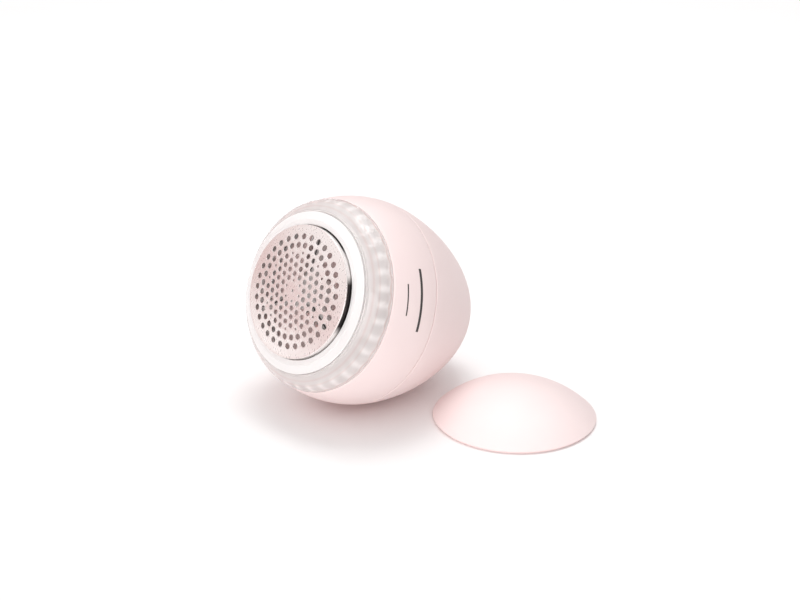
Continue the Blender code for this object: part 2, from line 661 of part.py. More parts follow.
def make_foil(material, parent):
    bend = FOIL_EDGE_BEND
    inner = FOIL_RADIUS - FOIL_THICKNESS
    base = FOIL_FLANGE_BASE
    outline = foil_dome(FOIL_RADIUS - bend, FOIL_FACE)
    outline += [(FOIL_RADIUS, FOIL_FACE - bend),
               (FOIL_RADIUS, base + FOIL_THICKNESS), (FOIL_RADIUS + FOIL_FLANGE, base + FOIL_THICKNESS),
               (FOIL_RADIUS + FOIL_FLANGE, base), (inner, base), (inner, FOIL_FACE - bend)]
    outline += foil_dome(inner - bend + FOIL_THICKNESS / 2, FOIL_FACE - FOIL_THICKNESS)[::-1]
    foil = turned("foil", outline, material, parent, RING_SEGMENTS)
    bm = bmesh.new()
    turn = Matrix.Rotation(PATTERN_TURN, 4, "Z")
    for place, radius, sides in foil_holes():
        where = turn @ Matrix.Translation(place + Vector((0, 0, FOIL_FACE + FOIL_DOME / 2)))
        bmesh.ops.create_cone(bm, cap_ends=True, segments=sides, radius1=radius, radius2=radius,
                              depth=FOIL_DOME + 2 * (FOIL_THICKNESS + PAST), matrix=where)
    cut(foil, add_object("holes", bm, material, parent))
    return foil


# Cutter and motor

def make_cutter(plastic, steel, parent):
    hub_back = CHASSIS_FRONT + GAP
    hub_front = hub_back + HUB_HEIGHT
    hub = turned("drive_hub", [(SHAFT_RADIUS + GAP, hub_back), (HUB_RADIUS, hub_back),
                               (HUB_RADIUS, hub_front), (SHAFT_RADIUS + GAP, hub_front)],
                 plastic, parent, 6)
    foil_inside = FOIL_FACE - FOIL_THICKNESS
    blade_front = foil_inside - RUNNING_GAP
    blade_back = blade_front - BLADE_HEIGHT
    arm_front = blade_back + BLADE_SEAT
    arm_back = arm_front - CARRIER_ARM_HEIGHT
    boss_in = HUB_RADIUS + GAP
    boss_out = boss_in + CARRIER_WALL
    boss_back = hub_back + RUNNING_GAP
    carrier = turned("blade_carrier", [(boss_in, boss_back), (boss_out, boss_back), (boss_out, arm_front),
                                       (0.0, arm_front), (0.0, hub_front + GAP),
                                       (boss_in, hub_front + GAP)], plastic, parent, SMALL_SEGMENTS)
    reach = FOIL_RADIUS + FOIL_FLANGE - RETAINER_WIDTH - CARRIER_REACH_GAP
    half = BLADE_THICKNESS / 2
    for i in range(BLADE_COUNT):
        turn = math.tau * i / BLADE_COUNT
        join(carrier, block(f"arm_{i}", (boss_in + ARM_INSET, -CARRIER_ARM_WIDTH / 2, arm_back),
                            (reach, CARRIER_ARM_WIDTH / 2, arm_front), plastic, parent, turn))
    for i in range(BLADE_COUNT):
        turn = math.tau * i / BLADE_COUNT
        cut(carrier, block(f"slot_{i}", (BLADE_START - GAP, -half - GAP, blade_back - GAP),
                           (reach + PAST, half + GAP, arm_front + PAST), plastic, parent, turn))
        blade(f"blade_{i + 1}", BLADE_START, reach, half, blade_back, blade_front, steel, parent, turn)
    shaft_back = MOTOR_BACK - GAP - MOTOR_CAP_HEIGHT / 2
    rod("motor_shaft", SHAFT_RADIUS, (0, 0, shaft_back), (0, 0, hub_front - GAP), steel, parent,
        SCREW_SEGMENTS)
    return hub, carrier


def armature_back():
    return MOTOR_BACK + COMMUTATOR_LENGTH + 3 * GAP


def make_armature(iron, copper, parent):
    back = armature_back()
    inner = SHAFT_RADIUS + GAP
    turned("motor_armature", [(inner, back), (ARMATURE_RADIUS, back),
                              (ARMATURE_RADIUS, back + ARMATURE_LENGTH),
                              (inner, back + ARMATURE_LENGTH)], iron, parent, SMALL_SEGMENTS)
    front = back - GAP
    turned("commutator", [(inner, front - COMMUTATOR_LENGTH), (COMMUTATOR_RADIUS, front - COMMUTATOR_LENGTH),
                          (COMMUTATOR_RADIUS, front), (inner, front)], copper, parent, SCREW_SEGMENTS)


def make_motor(steel, nylon, ferrite, fastener, parent):
    inside = MOTOR_RADIUS - MOTOR_WALL
    bore = SHAFT_RADIUS + RUNNING_GAP
    can = turned("motor_can", [(bore, MOTOR_FRONT), (MOTOR_RADIUS, MOTOR_FRONT), (MOTOR_RADIUS, MOTOR_BACK),
                               (inside, MOTOR_BACK), (inside, MOTOR_FRONT - MOTOR_FRONT_WALL),
                               (bore, MOTOR_FRONT - MOTOR_FRONT_WALL)], steel, parent, SMALL_SEGMENTS)
    cap_front = MOTOR_BACK - GAP
    turned("motor_end_cap", [(0.0, MOTOR_CAP_BACK), (MOTOR_RADIUS - GAP, MOTOR_CAP_BACK),
                             (MOTOR_RADIUS - GAP, cap_front), (bore, cap_front),
                             (bore, cap_front - MOTOR_CAP_HEIGHT / 2 - GAP),
                             (0.0, cap_front - MOTOR_CAP_HEIGHT / 2 - GAP)],
           nylon, parent, SMALL_SEGMENTS)
    for i in range(2):
        arc_block(f"motor_magnet_{i + 1}", inside - GAP - MAGNET_THICKNESS, inside - GAP, armature_back(),
                  armature_back() + ARMATURE_LENGTH, math.pi * i, MAGNET_ARC, 10, ferrite, parent)
    for i in range(2):
        place = around(MOTOR_SCREW_CIRCLE, math.pi * (i + 0.5))
        depth = MOTOR_FRONT - MOTOR_FRONT_WALL - PAST
        for piece in (can, bpy.data.objects["chassis_plate"]):
            cut(piece, rod(f"motor_fix_{i}", MOTOR_SCREW_RADIUS + GAP, place + Vector((0, 0, depth)),
                           place + Vector((0, 0, CHASSIS_FRONT + PAST)), steel, parent, SCREW_SEGMENTS))
        screw(f"motor_screw_{i + 1}", place + Vector((0, 0, CHASSIS_FRONT + GAP)), MOTOR_HEAD_RADIUS,
              MOTOR_HEAD_HEIGHT, MOTOR_SCREW_RADIUS,
              CHASSIS_THICKNESS + MOTOR_SETBACK + 2 * GAP + MOTOR_FRONT_WALL,
              fastener, parent, False)


# Cell, board, switch and button

def make_cell(sleeve, plastic, parent):
    rod("cell", CELL_RADIUS, (-CELL_DROP, -CELL_LENGTH / 2, CELL_Z), (-CELL_DROP, CELL_LENGTH / 2, CELL_Z),
        sleeve, parent)
    lie = Matrix.Translation((-CELL_DROP, 0, CELL_Z)) @ Matrix.Rotation(math.pi / 2, 4, "X")
    inner = CELL_RADIUS + GAP
    cradle = arc_block("cell_cradle", inner, inner + CRADLE_WALL, -CRADLE_LENGTH / 2, CRADLE_LENGTH / 2,
                       math.pi / 2, math.radians(200.0), 12, plastic, parent, lie)
    for i, side in enumerate((1, -1)):
        y = side * (CRADLE_LENGTH / 2 - LEG_WIDTH / 2)
        join(cradle, block(f"leg_{i}",
                           (-CELL_DROP - LEG_THICKNESS / 2, y - LEG_WIDTH / 2, CELL_Z + inner + GAP),
                           (-CELL_DROP + LEG_THICKNESS / 2, y + LEG_WIDTH / 2, CHASSIS_BACK - GAP),
                           plastic, parent))
    return cradle


def make_board(board_green, fastener, black, parent):
    board = turned("circuit_board", [(0.0, BOARD_BACK), (board_radius(), BOARD_BACK),
                                     (board_radius(), BOARD_FRONT), (0.0, BOARD_FRONT)],
                   board_green, parent, RING_SEGMENTS)
    foot = back_run(SHELL_WALL / 2, -SEAM_BACK, BOARD_SCREW_CIRCLE + BOSS_RADIUS)[-1][1]
    for i, side in enumerate((1, -1)):
        place = around(BOARD_SCREW_CIRCLE, side * BOARD_SCREW_ANGLE)
        cut(board, rod(f"board_fix_{i}", MOTOR_SCREW_RADIUS + GAP, place + Vector((0, 0, BOARD_BACK - PAST)),
                       place + Vector((0, 0, BOARD_FRONT + PAST)), fastener, parent, SCREW_SEGMENTS))
        length = BOARD_FRONT + GAP - foot - BOARD_SCREW_SPARE
        screw(f"board_screw_{i + 1}", place + Vector((0, 0, BOARD_FRONT + GAP)), MOTOR_HEAD_RADIUS,
              BOARD_HEAD_HEIGHT, MOTOR_SCREW_RADIUS, length, fastener, parent, False)
    half = SWITCH_SIZE / 2
    switch = block("push_switch", (-half, -half, SWITCH_BACK), (half, half, BOARD_BACK - GAP), black, parent)
    cut(switch, rod("plunger_well", PLUNGER_RADIUS + GAP,
                    (0, 0, SWITCH_BACK + PLUNGER_DEPTH + BUTTON_TRAVEL + GAP), (0, 0, SWITCH_BACK - PAST),
                    black, parent, SMALL_SEGMENTS))
    return board


def make_button(material, black, parent):
    flange_back = shell_inner_z() + GAP
    flange_front = flange_back + BUTTON_FLANGE_HEIGHT
    hollow = BUTTON_RADIUS - BUTTON_SIDE_WALL
    dome = back_run(0.0, 0.0, BUTTON_RADIUS)[-1]
    crown = [back_run(0.0, 0.0, BUTTON_RADIUS * share)[-1] for share in (0.75, 0.5, 0.25)]
    ceiling = -BACK_LENGTH + BUTTON_SKIN
    outline = [(0.0, -BACK_LENGTH)] + crown[::-1] + [dome]
    outline += [(BUTTON_RADIUS, flange_back), (BUTTON_RADIUS + BUTTON_FLANGE, flange_back),
                (BUTTON_RADIUS + BUTTON_FLANGE, flange_front), (hollow, flange_front), (hollow, ceiling),
                (BUTTON_STEM_RADIUS, ceiling), (BUTTON_STEM_RADIUS, STEM_FRONT), (0.0, STEM_FRONT)]
    turned("power_button", outline, material, parent, RING_SEGMENTS)
    rod("switch_plunger", PLUNGER_RADIUS, (0, 0, PLUNGER_BACK), (0, 0, SWITCH_BACK + PLUNGER_DEPTH),
        black, parent, SCREW_SEGMENTS)


def shell_inner_z():
    """The shell's inner face where the button's flange comes up behind it."""
    return back_run(SHELL_WALL, 0.0, BUTTON_RADIUS + BUTTON_FLANGE)[-1][1]


def make_socket(steel, black, clear, parent):
    low = BOARD_FRONT + GAP
    high = low + SOCKET_HEIGHT
    mouth = back_radius(high, SHELL_WALL) - SOCKET_RECESS
    half = SOCKET_WIDTH / 2
    socket = block("charge_socket", (mouth - SOCKET_DEPTH, -half, low), (mouth, half, high), steel, parent)
    floor = mouth - SOCKET_DEPTH + 2 * SOCKET_WALL
    cut(socket, block("socket_mouth", (floor, -half + SOCKET_WALL, low + SOCKET_WALL),
                      (mouth + PAST, half - SOCKET_WALL, high - SOCKET_WALL), steel, parent))
    middle = (low + high) / 2
    block("socket_tongue", (mouth - SOCKET_DEPTH + 3 * SOCKET_WALL, -SOCKET_WIDTH / 4, middle - TONGUE_HALF),
          (mouth - 2 * SOCKET_WALL, SOCKET_WIDTH / 4, middle + TONGUE_HALF), black, parent)
    outside = math.sqrt(back_radius(middle + LIGHT_RADIUS, 0.0) ** 2 - LIGHT_OFFSET ** 2) - GAP
    rod("light_pipe", LIGHT_RADIUS, (outside - LIGHT_LENGTH, LIGHT_OFFSET, middle),
        (outside, LIGHT_OFFSET, middle), clear, parent, SCREW_SEGMENTS)


def make_wires(red, black, parent):
    above_board = BOARD_FRONT + GAP + WIRE_RADIUS
    below_motor = MOTOR_CAP_BACK - GAP - WIRE_RADIUS
    lane = CELL_RADIUS - CELL_DROP + 3 * WIRE_RADIUS + CRADLE_WALL
    for name, material, side in (("motor_wire_red", red, 1), ("motor_wire_black", black, -1)):
        y = side * MOTOR_WIRE_OFFSET
        wire(name, [(MOTOR_WIRE_START, y, below_motor), (lane + WIRE_BOW, y, below_motor - WIRE_BOW),
                    (lane + WIRE_BOW, y, CELL_Z), (lane, y, above_board + WIRE_BOW),
                    (lane - 2 * WIRE_BOW, y, above_board)],
             material, parent)
    clear_of_cell = CELL_RADIUS - CELL_DROP + 3 * WIRE_RADIUS
    for name, material, side in (("cell_wire_red", red, 1), ("cell_wire_black", black, -1)):
        y = side * (CELL_LENGTH / 2 + GAP + WIRE_RADIUS)
        wire(name, [(-CELL_DROP, y, CELL_Z + 2 * WIRE_BOW), (0.0, y, CELL_Z - WIRE_BOW),
                    (clear_of_cell + WIRE_BOW, y, CELL_Z - CELL_RADIUS / 3),
                    (clear_of_cell, side * (board_radius() - BOARD_PAD_INSET), above_board)],
             material, parent)


# Cap

def make_cap(material, parent):
    sphere = (CAP_RADIUS ** 2 + CAP_HEIGHT ** 2) / (2 * CAP_HEIGHT)
    centre = CAP_RIM_LIFT + CAP_HEIGHT - sphere
    ring_out = CAP_RADIUS - CAP_OVERHANG
    ring_in = ring_out - CAP_RING_WALL

    def dome(radius_out, ball):
        spread = math.asin(radius_out / ball)
        return [(ball * math.sin(spread * i / DOME_STEPS), centre + ball * math.cos(spread * i / DOME_STEPS))
                for i in range(DOME_STEPS + 1)]

    outline = dome(CAP_RADIUS, sphere)
    outline += [(ring_out, CAP_RIM_LIFT), (ring_out, 0.0), (ring_in, 0.0)]
    outline += dome(ring_in, sphere - CAP_WALL)[::-1]
    return turned("cap", outline, material, parent)


# Placing

def rest_height():
    """Height of the widest plane's centre over the table when the rear shell touches it."""
    outline = back_run(0.0, -SEAM_BACK - GAP, BUTTON_RADIUS + RUNNING_GAP)
    return max(radius * math.cos(AXIS_RISE) - z * math.sin(AXIS_RISE) for radius, z in outline)


def add_empty(name, parent=None):
    empty = bpy.data.objects.new(name, None)
    empty.parent = parent
    empty.empty_display_size = 0.01
    bpy.context.scene.collection.objects.link(empty)
    return empty


def floor_centre():
    """Middle of the finished pieces' box, in plan."""
    bpy.context.view_layer.update()
    graph = bpy.context.evaluated_depsgraph_get()
    corners = []
    for piece in bpy.context.scene.objects:
        if piece.type in {"MESH", "CURVE"} and not piece.hide_render:
            shape = piece.evaluated_get(graph)
            corners += [shape.matrix_world @ v.co for v in shape.to_mesh().vertices]
            shape.to_mesh_clear()
    return [(min(c[k] for c in corners) + max(c[k] for c in corners)) / 2 for k in range(2)]


def build():
    for old in list(bpy.data.objects):
        bpy.data.objects.remove(old, do_unlink=True)
    pink = finish("soft_touch_pink", (0.86, 0.68, 0.64), 0.55)
    clear = finish("clear_plastic", (0.95, 0.9, 0.89), 0.08, transmission=1.0)
    steel = finish("foil_steel", (0.72, 0.67, 0.65), 0.22, metallic=1.0)
    blade_steel = finish("blade_steel", (0.62, 0.62, 0.63), 0.25, metallic=1.0)
    zinc = finish("zinc_screw", (0.6, 0.6, 0.62), 0.35, metallic=1.0)
    white = finish("white_plastic", (0.85, 0.84, 0.82), 0.45)
    black = finish("black_plastic", (0.03, 0.03, 0.035), 0.5)
    rubber = finish("seal_rubber", (0.7, 0.7, 0.7), 0.7)
    iron = finish("armature_iron", (0.25, 0.24, 0.23), 0.5, metallic=0.8)
    copper = finish("copper", (0.72, 0.38, 0.22), 0.35, metallic=1.0)
    ferrite = finish("ferrite", (0.06, 0.06, 0.065), 0.7)
    sleeve = finish("cell_sleeve", (0.1, 0.25, 0.5), 0.4)
    green = finish("board_green", (0.03, 0.2, 0.08), 0.4)
    red = finish("red_wire", (0.6, 0.04, 0.03), 0.5)

    origin = add_empty("origin")
    shaver = add_empty("shaver_axis", origin)
    rotor = add_empty("rotor_axis", shaver)
    container = add_empty("container_axis", shaver)
    foil_head = add_empty("foil_axis", container)
    button = add_empty("button_axis", shaver)
    cap = add_empty("cap_axis", origin)

    make_front_shell(pink, shaver)
    make_rear_shell(pink, shaver)
    make_chassis(pink, shaver)
    make_screws(zinc, shaver)
    make_container(clear, container)
    make_seal(rubber, shaver)
    make_foil_ring(clear, foil_head)
    make_retainer(white, foil_head)
    make_foil(steel, foil_head)
    make_cutter(white, blade_steel, rotor)
    make_armature(iron, copper, rotor)
    make_motor(zinc, white, ferrite, zinc, shaver)
    make_cell(sleeve, white, shaver)
    make_board(green, zinc, black, shaver)
    make_button(pink, black, button)
    make_socket(zinc, black, clear, shaver)
    make_wires(red, black, shaver)
    make_cap(pink, cap)

    shaver.rotation_euler = (0.0, -(math.pi / 2 - AXIS_RISE), AXIS_TURN)
    shaver.location = (0.0, 0.0, rest_height())
    cap.location = (*CAP_PLACE, 0.0)
    centre = floor_centre()
    origin.location = (-centre[0], -centre[1], 0.0)


build()
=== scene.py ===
"""A palm-sized rechargeable fabric shaver lying on its side, with its dust cap beside it.

The sections follow the shaver from the outside in: case, lint container, foil head, then the metal and
plastic parts inside, the button, the cap, and last the table and its light. Sizes inside a section are
millimetres on the shaver's own axis: z points out through the foil and z = 0 is the body's widest plane.
"""

import json
import math

import bpy
import numpy as np
from mathutils import Matrix, Vector
from mathutils.geometry import delaunay_2d_cdt


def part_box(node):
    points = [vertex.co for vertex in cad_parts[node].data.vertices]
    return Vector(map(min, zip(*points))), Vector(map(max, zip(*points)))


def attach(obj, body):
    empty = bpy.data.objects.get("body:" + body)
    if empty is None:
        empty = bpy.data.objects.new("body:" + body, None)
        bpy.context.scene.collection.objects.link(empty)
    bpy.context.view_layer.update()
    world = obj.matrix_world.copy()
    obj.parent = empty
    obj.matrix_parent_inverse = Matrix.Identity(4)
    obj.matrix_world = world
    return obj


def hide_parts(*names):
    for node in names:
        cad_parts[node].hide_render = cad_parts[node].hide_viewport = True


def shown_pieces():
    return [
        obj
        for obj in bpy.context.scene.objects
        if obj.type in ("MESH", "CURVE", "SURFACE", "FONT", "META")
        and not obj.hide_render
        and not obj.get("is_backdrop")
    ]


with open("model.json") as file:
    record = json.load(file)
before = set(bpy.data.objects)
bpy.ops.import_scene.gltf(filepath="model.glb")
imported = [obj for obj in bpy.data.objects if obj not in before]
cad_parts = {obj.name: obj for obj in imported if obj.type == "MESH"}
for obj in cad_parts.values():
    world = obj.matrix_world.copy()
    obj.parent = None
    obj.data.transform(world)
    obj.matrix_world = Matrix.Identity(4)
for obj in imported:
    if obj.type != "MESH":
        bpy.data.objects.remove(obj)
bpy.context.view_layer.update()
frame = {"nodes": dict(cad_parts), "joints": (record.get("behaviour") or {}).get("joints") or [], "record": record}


# Front shell -------------------------------------------------------------------------------------
# The front half of the ball-shaped case: a 2.2 mm ABS moulding under pale pink soft-touch paint. Its
# flat rim carries the lint container, and three counterbored screws hold it to the rear shell.

MM = 0.001
AXLE = next(joint for joint in frame["joints"] if joint["name"] == "rotor_spin")
OUT = np.array(AXLE["axis"])
UP = np.array([0.0, 0.0, 1.0]) - OUT * OUT[2]
UP /= np.linalg.norm(UP)
ACROSS = np.cross(OUT, UP)
CENTRE = np.array(AXLE["pos_m"])

body_radius = 34.95
rim_radius = 32.25
rim_z = 15.2
shell_wall = 2.2
seam_z = -2.6
seam_gap = 0.3
tongue = 2.4
tongue_share = 1.0
tongue_lead = 0.2
deck_opening = 26.85
lip_back = 12.6
back_length = 50.2
side_run = 16.5
back_fullness = 0.57
screw_count = 3
screw_turn = math.radians(31.5)
case_screw_circle = 29.45
case_screw_bore = 1.4
case_head_bore = 2.0
case_head_depth = 1.6
past = 1.0


def on_shaver(points):
    """Row frame = centre + x of the way up + y of the way across + z of the way out, with mm made metres."""
    return CENTRE + MM * (points @ np.array([UP, ACROSS, OUT]))


def local_points(mesh):
    """A mesh's points in the shaver's own millimetres, which undoes on_shaver."""
    places = np.empty(len(mesh.vertices) * 3)
    mesh.vertices.foreach_get("co", places)
    return (places.reshape(-1, 3) - CENTRE) / MM @ np.array([UP, ACROSS, OUT]).T


def soften(corners, cuts, steps=6):
    """Rounds a closed outline: each corner becomes the parabola that leaves its two sides a cut away from it.

    point(t) = (1 - t)^2 * before + 2 t (1 - t) * corner + t^2 * after, with t from 0 to 1."""
    corners = np.asarray(corners, float)
    before = np.roll(corners, 1, axis=0) - corners
    after = np.roll(corners, -1, axis=0) - corners
    long_before = np.linalg.norm(before, axis=1, keepdims=True)
    long_after = np.linalg.norm(after, axis=1, keepdims=True)
    cuts = np.broadcast_to(np.asarray(cuts, float), len(corners))[:, None]
    start = corners + before / long_before * np.minimum(cuts, 0.48 * long_before)
    stop = corners + after / long_after * np.minimum(cuts, 0.48 * long_after)
    t = np.linspace(0.0, 1.0, steps)[None, :, None]
    arcs = (1 - t) ** 2 * start[:, None] + 2 * t * (1 - t) * corners[:, None] + t ** 2 * stop[:, None]
    return arcs.reshape(-1, 2)


def refine(outline, step, closed=True):
    """Adds evenly spaced points to every side longer than step, and drops repeated ones."""
    outline = np.asarray(outline, float)
    if closed:
        outline = np.vstack([outline, outline[:1]])
    sides = np.linalg.norm(np.diff(outline, axis=0), axis=1)
    outline = outline[np.r_[True, sides > 1e-4]]
    sides = sides[sides > 1e-4]
    pieces = np.maximum(np.ceil(sides / step), 1).astype(int)
    side = np.repeat(np.arange(len(sides)), pieces)
    order = np.arange(len(side)) - np.repeat(np.cumsum(pieces) - pieces, pieces)
    share = (order / pieces[side])[:, None]
    points = outline[side] * (1 - share) + outline[side + 1] * share
    return np.vstack([points, outline[-1:]])


def swept(profile, columns):
    """Carries a profile of (radius, z) points round the axis: (r cos a, r sin a, z) for each angle a."""
    angle = np.linspace(0.0, math.tau, columns + 1)
    radius, z = np.asarray(profile).T
    return np.stack([radius[:, None] * np.cos(angle), radius[:, None] * np.sin(angle),
                     np.broadcast_to(z[:, None], (len(z), columns + 1))], axis=-1)


def net(points, start=0):
    """Four-sided faces between neighbouring points of a grid."""
    rows, columns = points.shape[:2]
    index = start + np.arange(rows * columns).reshape(rows, columns)
    return np.stack([index[:-1, :-1], index[:-1, 1:], index[1:, 1:], index[1:, :-1]], -1).reshape(-1, 4)


def shaped(name, points, faces, material, place=on_shaver):
    """Welds points that coincide, so that seams and poles close, turns the faces outwards and adds the mesh.

    The faces point outwards when the volume under them, a sixth of the sum of a . (b x c), is above zero."""
    _, first, same = np.unique(np.round(points * 1e5).astype(np.int64), axis=0, return_index=True,
                               return_inverse=True)
    points = points[first]
    faces = same.ravel()[faces]
    a, b, c, d = (points[faces[:, k]] for k in range(4))
    volume = np.sum(a * np.cross(b, c)) + np.sum(a * np.cross(c, d))
    faces = faces if volume > 0 else faces[:, ::-1]
    kept = faces != np.roll(faces, -1, axis=1)
    whole = kept.sum(axis=1) > 2
    loops = faces[whole][kept[whole]]
    sides = kept[whole].sum(axis=1)
    mesh = bpy.data.meshes.new(name)
    mesh.vertices.add(len(points))
    mesh.vertices.foreach_set("co", place(points).ravel())
    mesh.loops.add(len(loops))
    mesh.loops.foreach_set("vertex_index", loops.astype(np.int32))
    mesh.polygons.add(len(sides))
    mesh.polygons.foreach_set("loop_start", (np.cumsum(sides) - sides).astype(np.int32))
    mesh.update(calc_edges=True)
    mesh.validate()
    mesh.shade_smooth()
    mesh.materials.append(material)
    piece = bpy.data.objects.new(name, mesh)
    bpy.context.scene.collection.objects.link(piece)
    return piece


def turned(name, profile, material, columns=192, place=on_shaver):
    """One closed solid of revolution from a closed profile, or from an open one that ends on the axis."""
    grid = swept(profile, columns)
    return shaped(name, grid.reshape(-1, 3), net(grid), material, place)


def combined(piece, others, operation):
    """Cuts the other shapes out of a piece, or joins them on, and applies the result to its mesh."""
    for other in others:
        change = piece.modifiers.new(other.name, "BOOLEAN")
        change.operation = operation
        change.object = other
        change.solver = "EXACT"
    bpy.context.view_layer.update()
    graph = bpy.context.evaluated_depsgraph_get()
    mesh = bpy.data.meshes.new_from_object(piece.evaluated_get(graph))
    piece.modifiers.clear()
    piece.data = mesh
    for other in others:
        bpy.data.objects.remove(other)
    mesh.shade_smooth()
    mesh.set_sharp_from_angle(angle=math.radians(50.0))


def plug(name, radius, low, high, x, y, material, columns=40):
    """Round pin along the axis, used to cut holes and to build posts."""
    profile = [(0.0, low), (radius, low), (radius, high), (0.0, high)]
    return turned(name, profile, material, columns, lambda p: on_shaver(p + np.array([x, y, 0.0])))


def nose(z, inset=0.0):
    """Front curve of the body: an ellipse through the widest circle and the rim."""
    length = rim_z / math.sqrt(1 - (rim_radius / body_radius) ** 2)
    return np.column_stack([body_radius * np.sqrt(1 - (z / length) ** 2) - inset, z])


def tail(inset, from_z, to_radius, count):
    """Rear curve of the body: a Bezier curve from the widest circle to the rear pole, moved in by inset.

    It is cut where it passes from_z and where it comes inside to_radius."""
    t = np.linspace(0.0, 1.0, 4001)[:, None]
    ends = np.array([(body_radius, 0.0), (body_radius, -side_run),
                     (body_radius * back_fullness, -back_length), (0.0, -back_length)])
    curve = ((1 - t) ** 3 * ends[0] + 3 * t * (1 - t) ** 2 * ends[1]
             + 3 * t * t * (1 - t) * ends[2] + t ** 3 * ends[3])
    run = np.gradient(curve, axis=0)
    run /= np.linalg.norm(run, axis=1, keepdims=True)
    curve = curve + inset * np.column_stack([run[:, 1], -run[:, 0]])
    inside = curve[(curve[:, 1] <= from_z) & (curve[:, 0] >= to_radius)]
    return inside[np.linspace(0, len(inside) - 1, count).astype(int)]


def tree(name):
    """New node material: (material, its nodes, a function that links two sockets, its shader)."""
    material = bpy.data.materials.new(name)
    material.use_nodes = True
    nodes = material.node_tree.nodes
    return material, nodes, material.node_tree.links.new, nodes["Principled BSDF"]


def noise(nodes, link, where, scale, detail=3.0):
    """Noise texture read in object coordinates, with scale in waves per metre."""
    texture = nodes.new("ShaderNodeTexNoise")
    texture.inputs["Scale"].default_value = scale
    texture.inputs["Detail"].default_value = detail
    link(where.outputs["Object"], texture.inputs["Vector"])
    return texture.outputs["Fac"]


def spread(nodes, link, value, low, high):
    """Turns a 0.3 to 0.7 noise value into low to high."""
    ramp = nodes.new("ShaderNodeMapRange")
    ramp.inputs["From Min"].default_value = 0.3
    ramp.inputs["From Max"].default_value = 0.7
    ramp.inputs["To Min"].default_value = low
    ramp.inputs["To Max"].default_value = high
    link(value, ramp.inputs["Value"])
    return ramp.outputs["Result"]


def tinted(nodes, link, value, dark, light):
    """Colour between two shades as a noise value goes from 0.3 to 0.7."""
    ramp = nodes.new("ShaderNodeValToRGB")
    ramp.color_ramp.elements[0].position = 0.3
    ramp.color_ramp.elements[0].color = (*dark, 1.0)
    ramp.color_ramp.elements[1].position = 0.7
    ramp.color_ramp.elements[1].color = (*light, 1.0)
    link(value, ramp.inputs["Fac"])
    return ramp.outputs["Color"]


def raised(nodes, link, value, height, strength=1.0):
    """Bump of a given height in metres."""
    bump = nodes.new("ShaderNodeBump")
    bump.inputs["Strength"].default_value = strength
    bump.inputs["Distance"].default_value = height
    link(value, bump.inputs["Height"])
    return bump.outputs["Normal"]


def dress(slot, material):
    """Puts a material on every CAD part of one record slot."""
    for part in frame["record"]["subparts"]:
        if part["material_slot"] == slot:
            mesh = frame["nodes"][part["node"]].data
            mesh.materials.clear()
            mesh.materials.append(material)


def moulded(name, dark, light, roughness, grain=1800.0):
    """Injection-moulded plastic: slight flow clouding, a fine spark-eroded texture and uneven gloss."""
    material, nodes, link, shader = tree(name)
    where = nodes.new("ShaderNodeTexCoord")
    fine = noise(nodes, link, where, grain, 3.0)
    link(tinted(nodes, link, noise(nodes, link, where, 90.0), dark, light), shader.inputs["Base Color"])
    link(spread(nodes, link, fine, roughness * 0.85, roughness * 1.15), shader.inputs["Roughness"])
    link(raised(nodes, link, fine, 0.000015, 0.4), shader.inputs["Normal"])
    return material


def worked_metal(name, dark, light, low, high, grain, stretch=(1.0, 1.0, 1.0)):
    """Bare metal: fine marks, drawn out where stretch is small, cloudy tarnish and uneven polish."""
    material, nodes, link, shader = tree(name)
    where = nodes.new("ShaderNodeTexCoord")
    drawn = nodes.new("ShaderNodeMapping")
    drawn.inputs["Scale"].default_value = stretch
    link(where.outputs["Object"], drawn.inputs["Vector"])
    marks = nodes.new("ShaderNodeTexNoise")
    marks.inputs["Scale"].default_value = grain
    link(drawn.outputs["Vector"], marks.inputs["Vector"])
    link(tinted(nodes, link, noise(nodes, link, where, 300.0), dark, light), shader.inputs["Base Color"])
    link(spread(nodes, link, marks.outputs["Fac"], low, high), shader.inputs["Roughness"])
    link(raised(nodes, link, marks.outputs["Fac"], 0.00001, 0.3), shader.inputs["Normal"])
    shader.inputs["Metallic"].default_value = 1.0
    return material


def soft_touch_pink():
    """Pale pink rubbery paint: faint clouding in the colour, a fine even orange peel and a velvety sheen."""
    material, nodes, link, shader = tree("soft_touch_pink")
    where = nodes.new("ShaderNodeTexCoord")
    cloud = noise(nodes, link, where, 45.0)
    peel = noise(nodes, link, where, 2600.0, 2.0)
    link(tinted(nodes, link, cloud, (0.885, 0.745, 0.735), (0.905, 0.775, 0.765)),
         shader.inputs["Base Color"])
    link(spread(nodes, link, peel, 0.46, 0.6), shader.inputs["Roughness"])
    link(raised(nodes, link, peel, 0.00001, 0.35), shader.inputs["Normal"])
    shader.inputs["Sheen Weight"].default_value = 0.12
    shader.inputs["Sheen Roughness"].default_value = 0.5
    shader.inputs["Sheen Tint"].default_value = (1.0, 0.93, 0.92, 1.0)
    shader.inputs["Specular IOR Level"].default_value = 0.4
    return material


pink = soft_touch_pink()


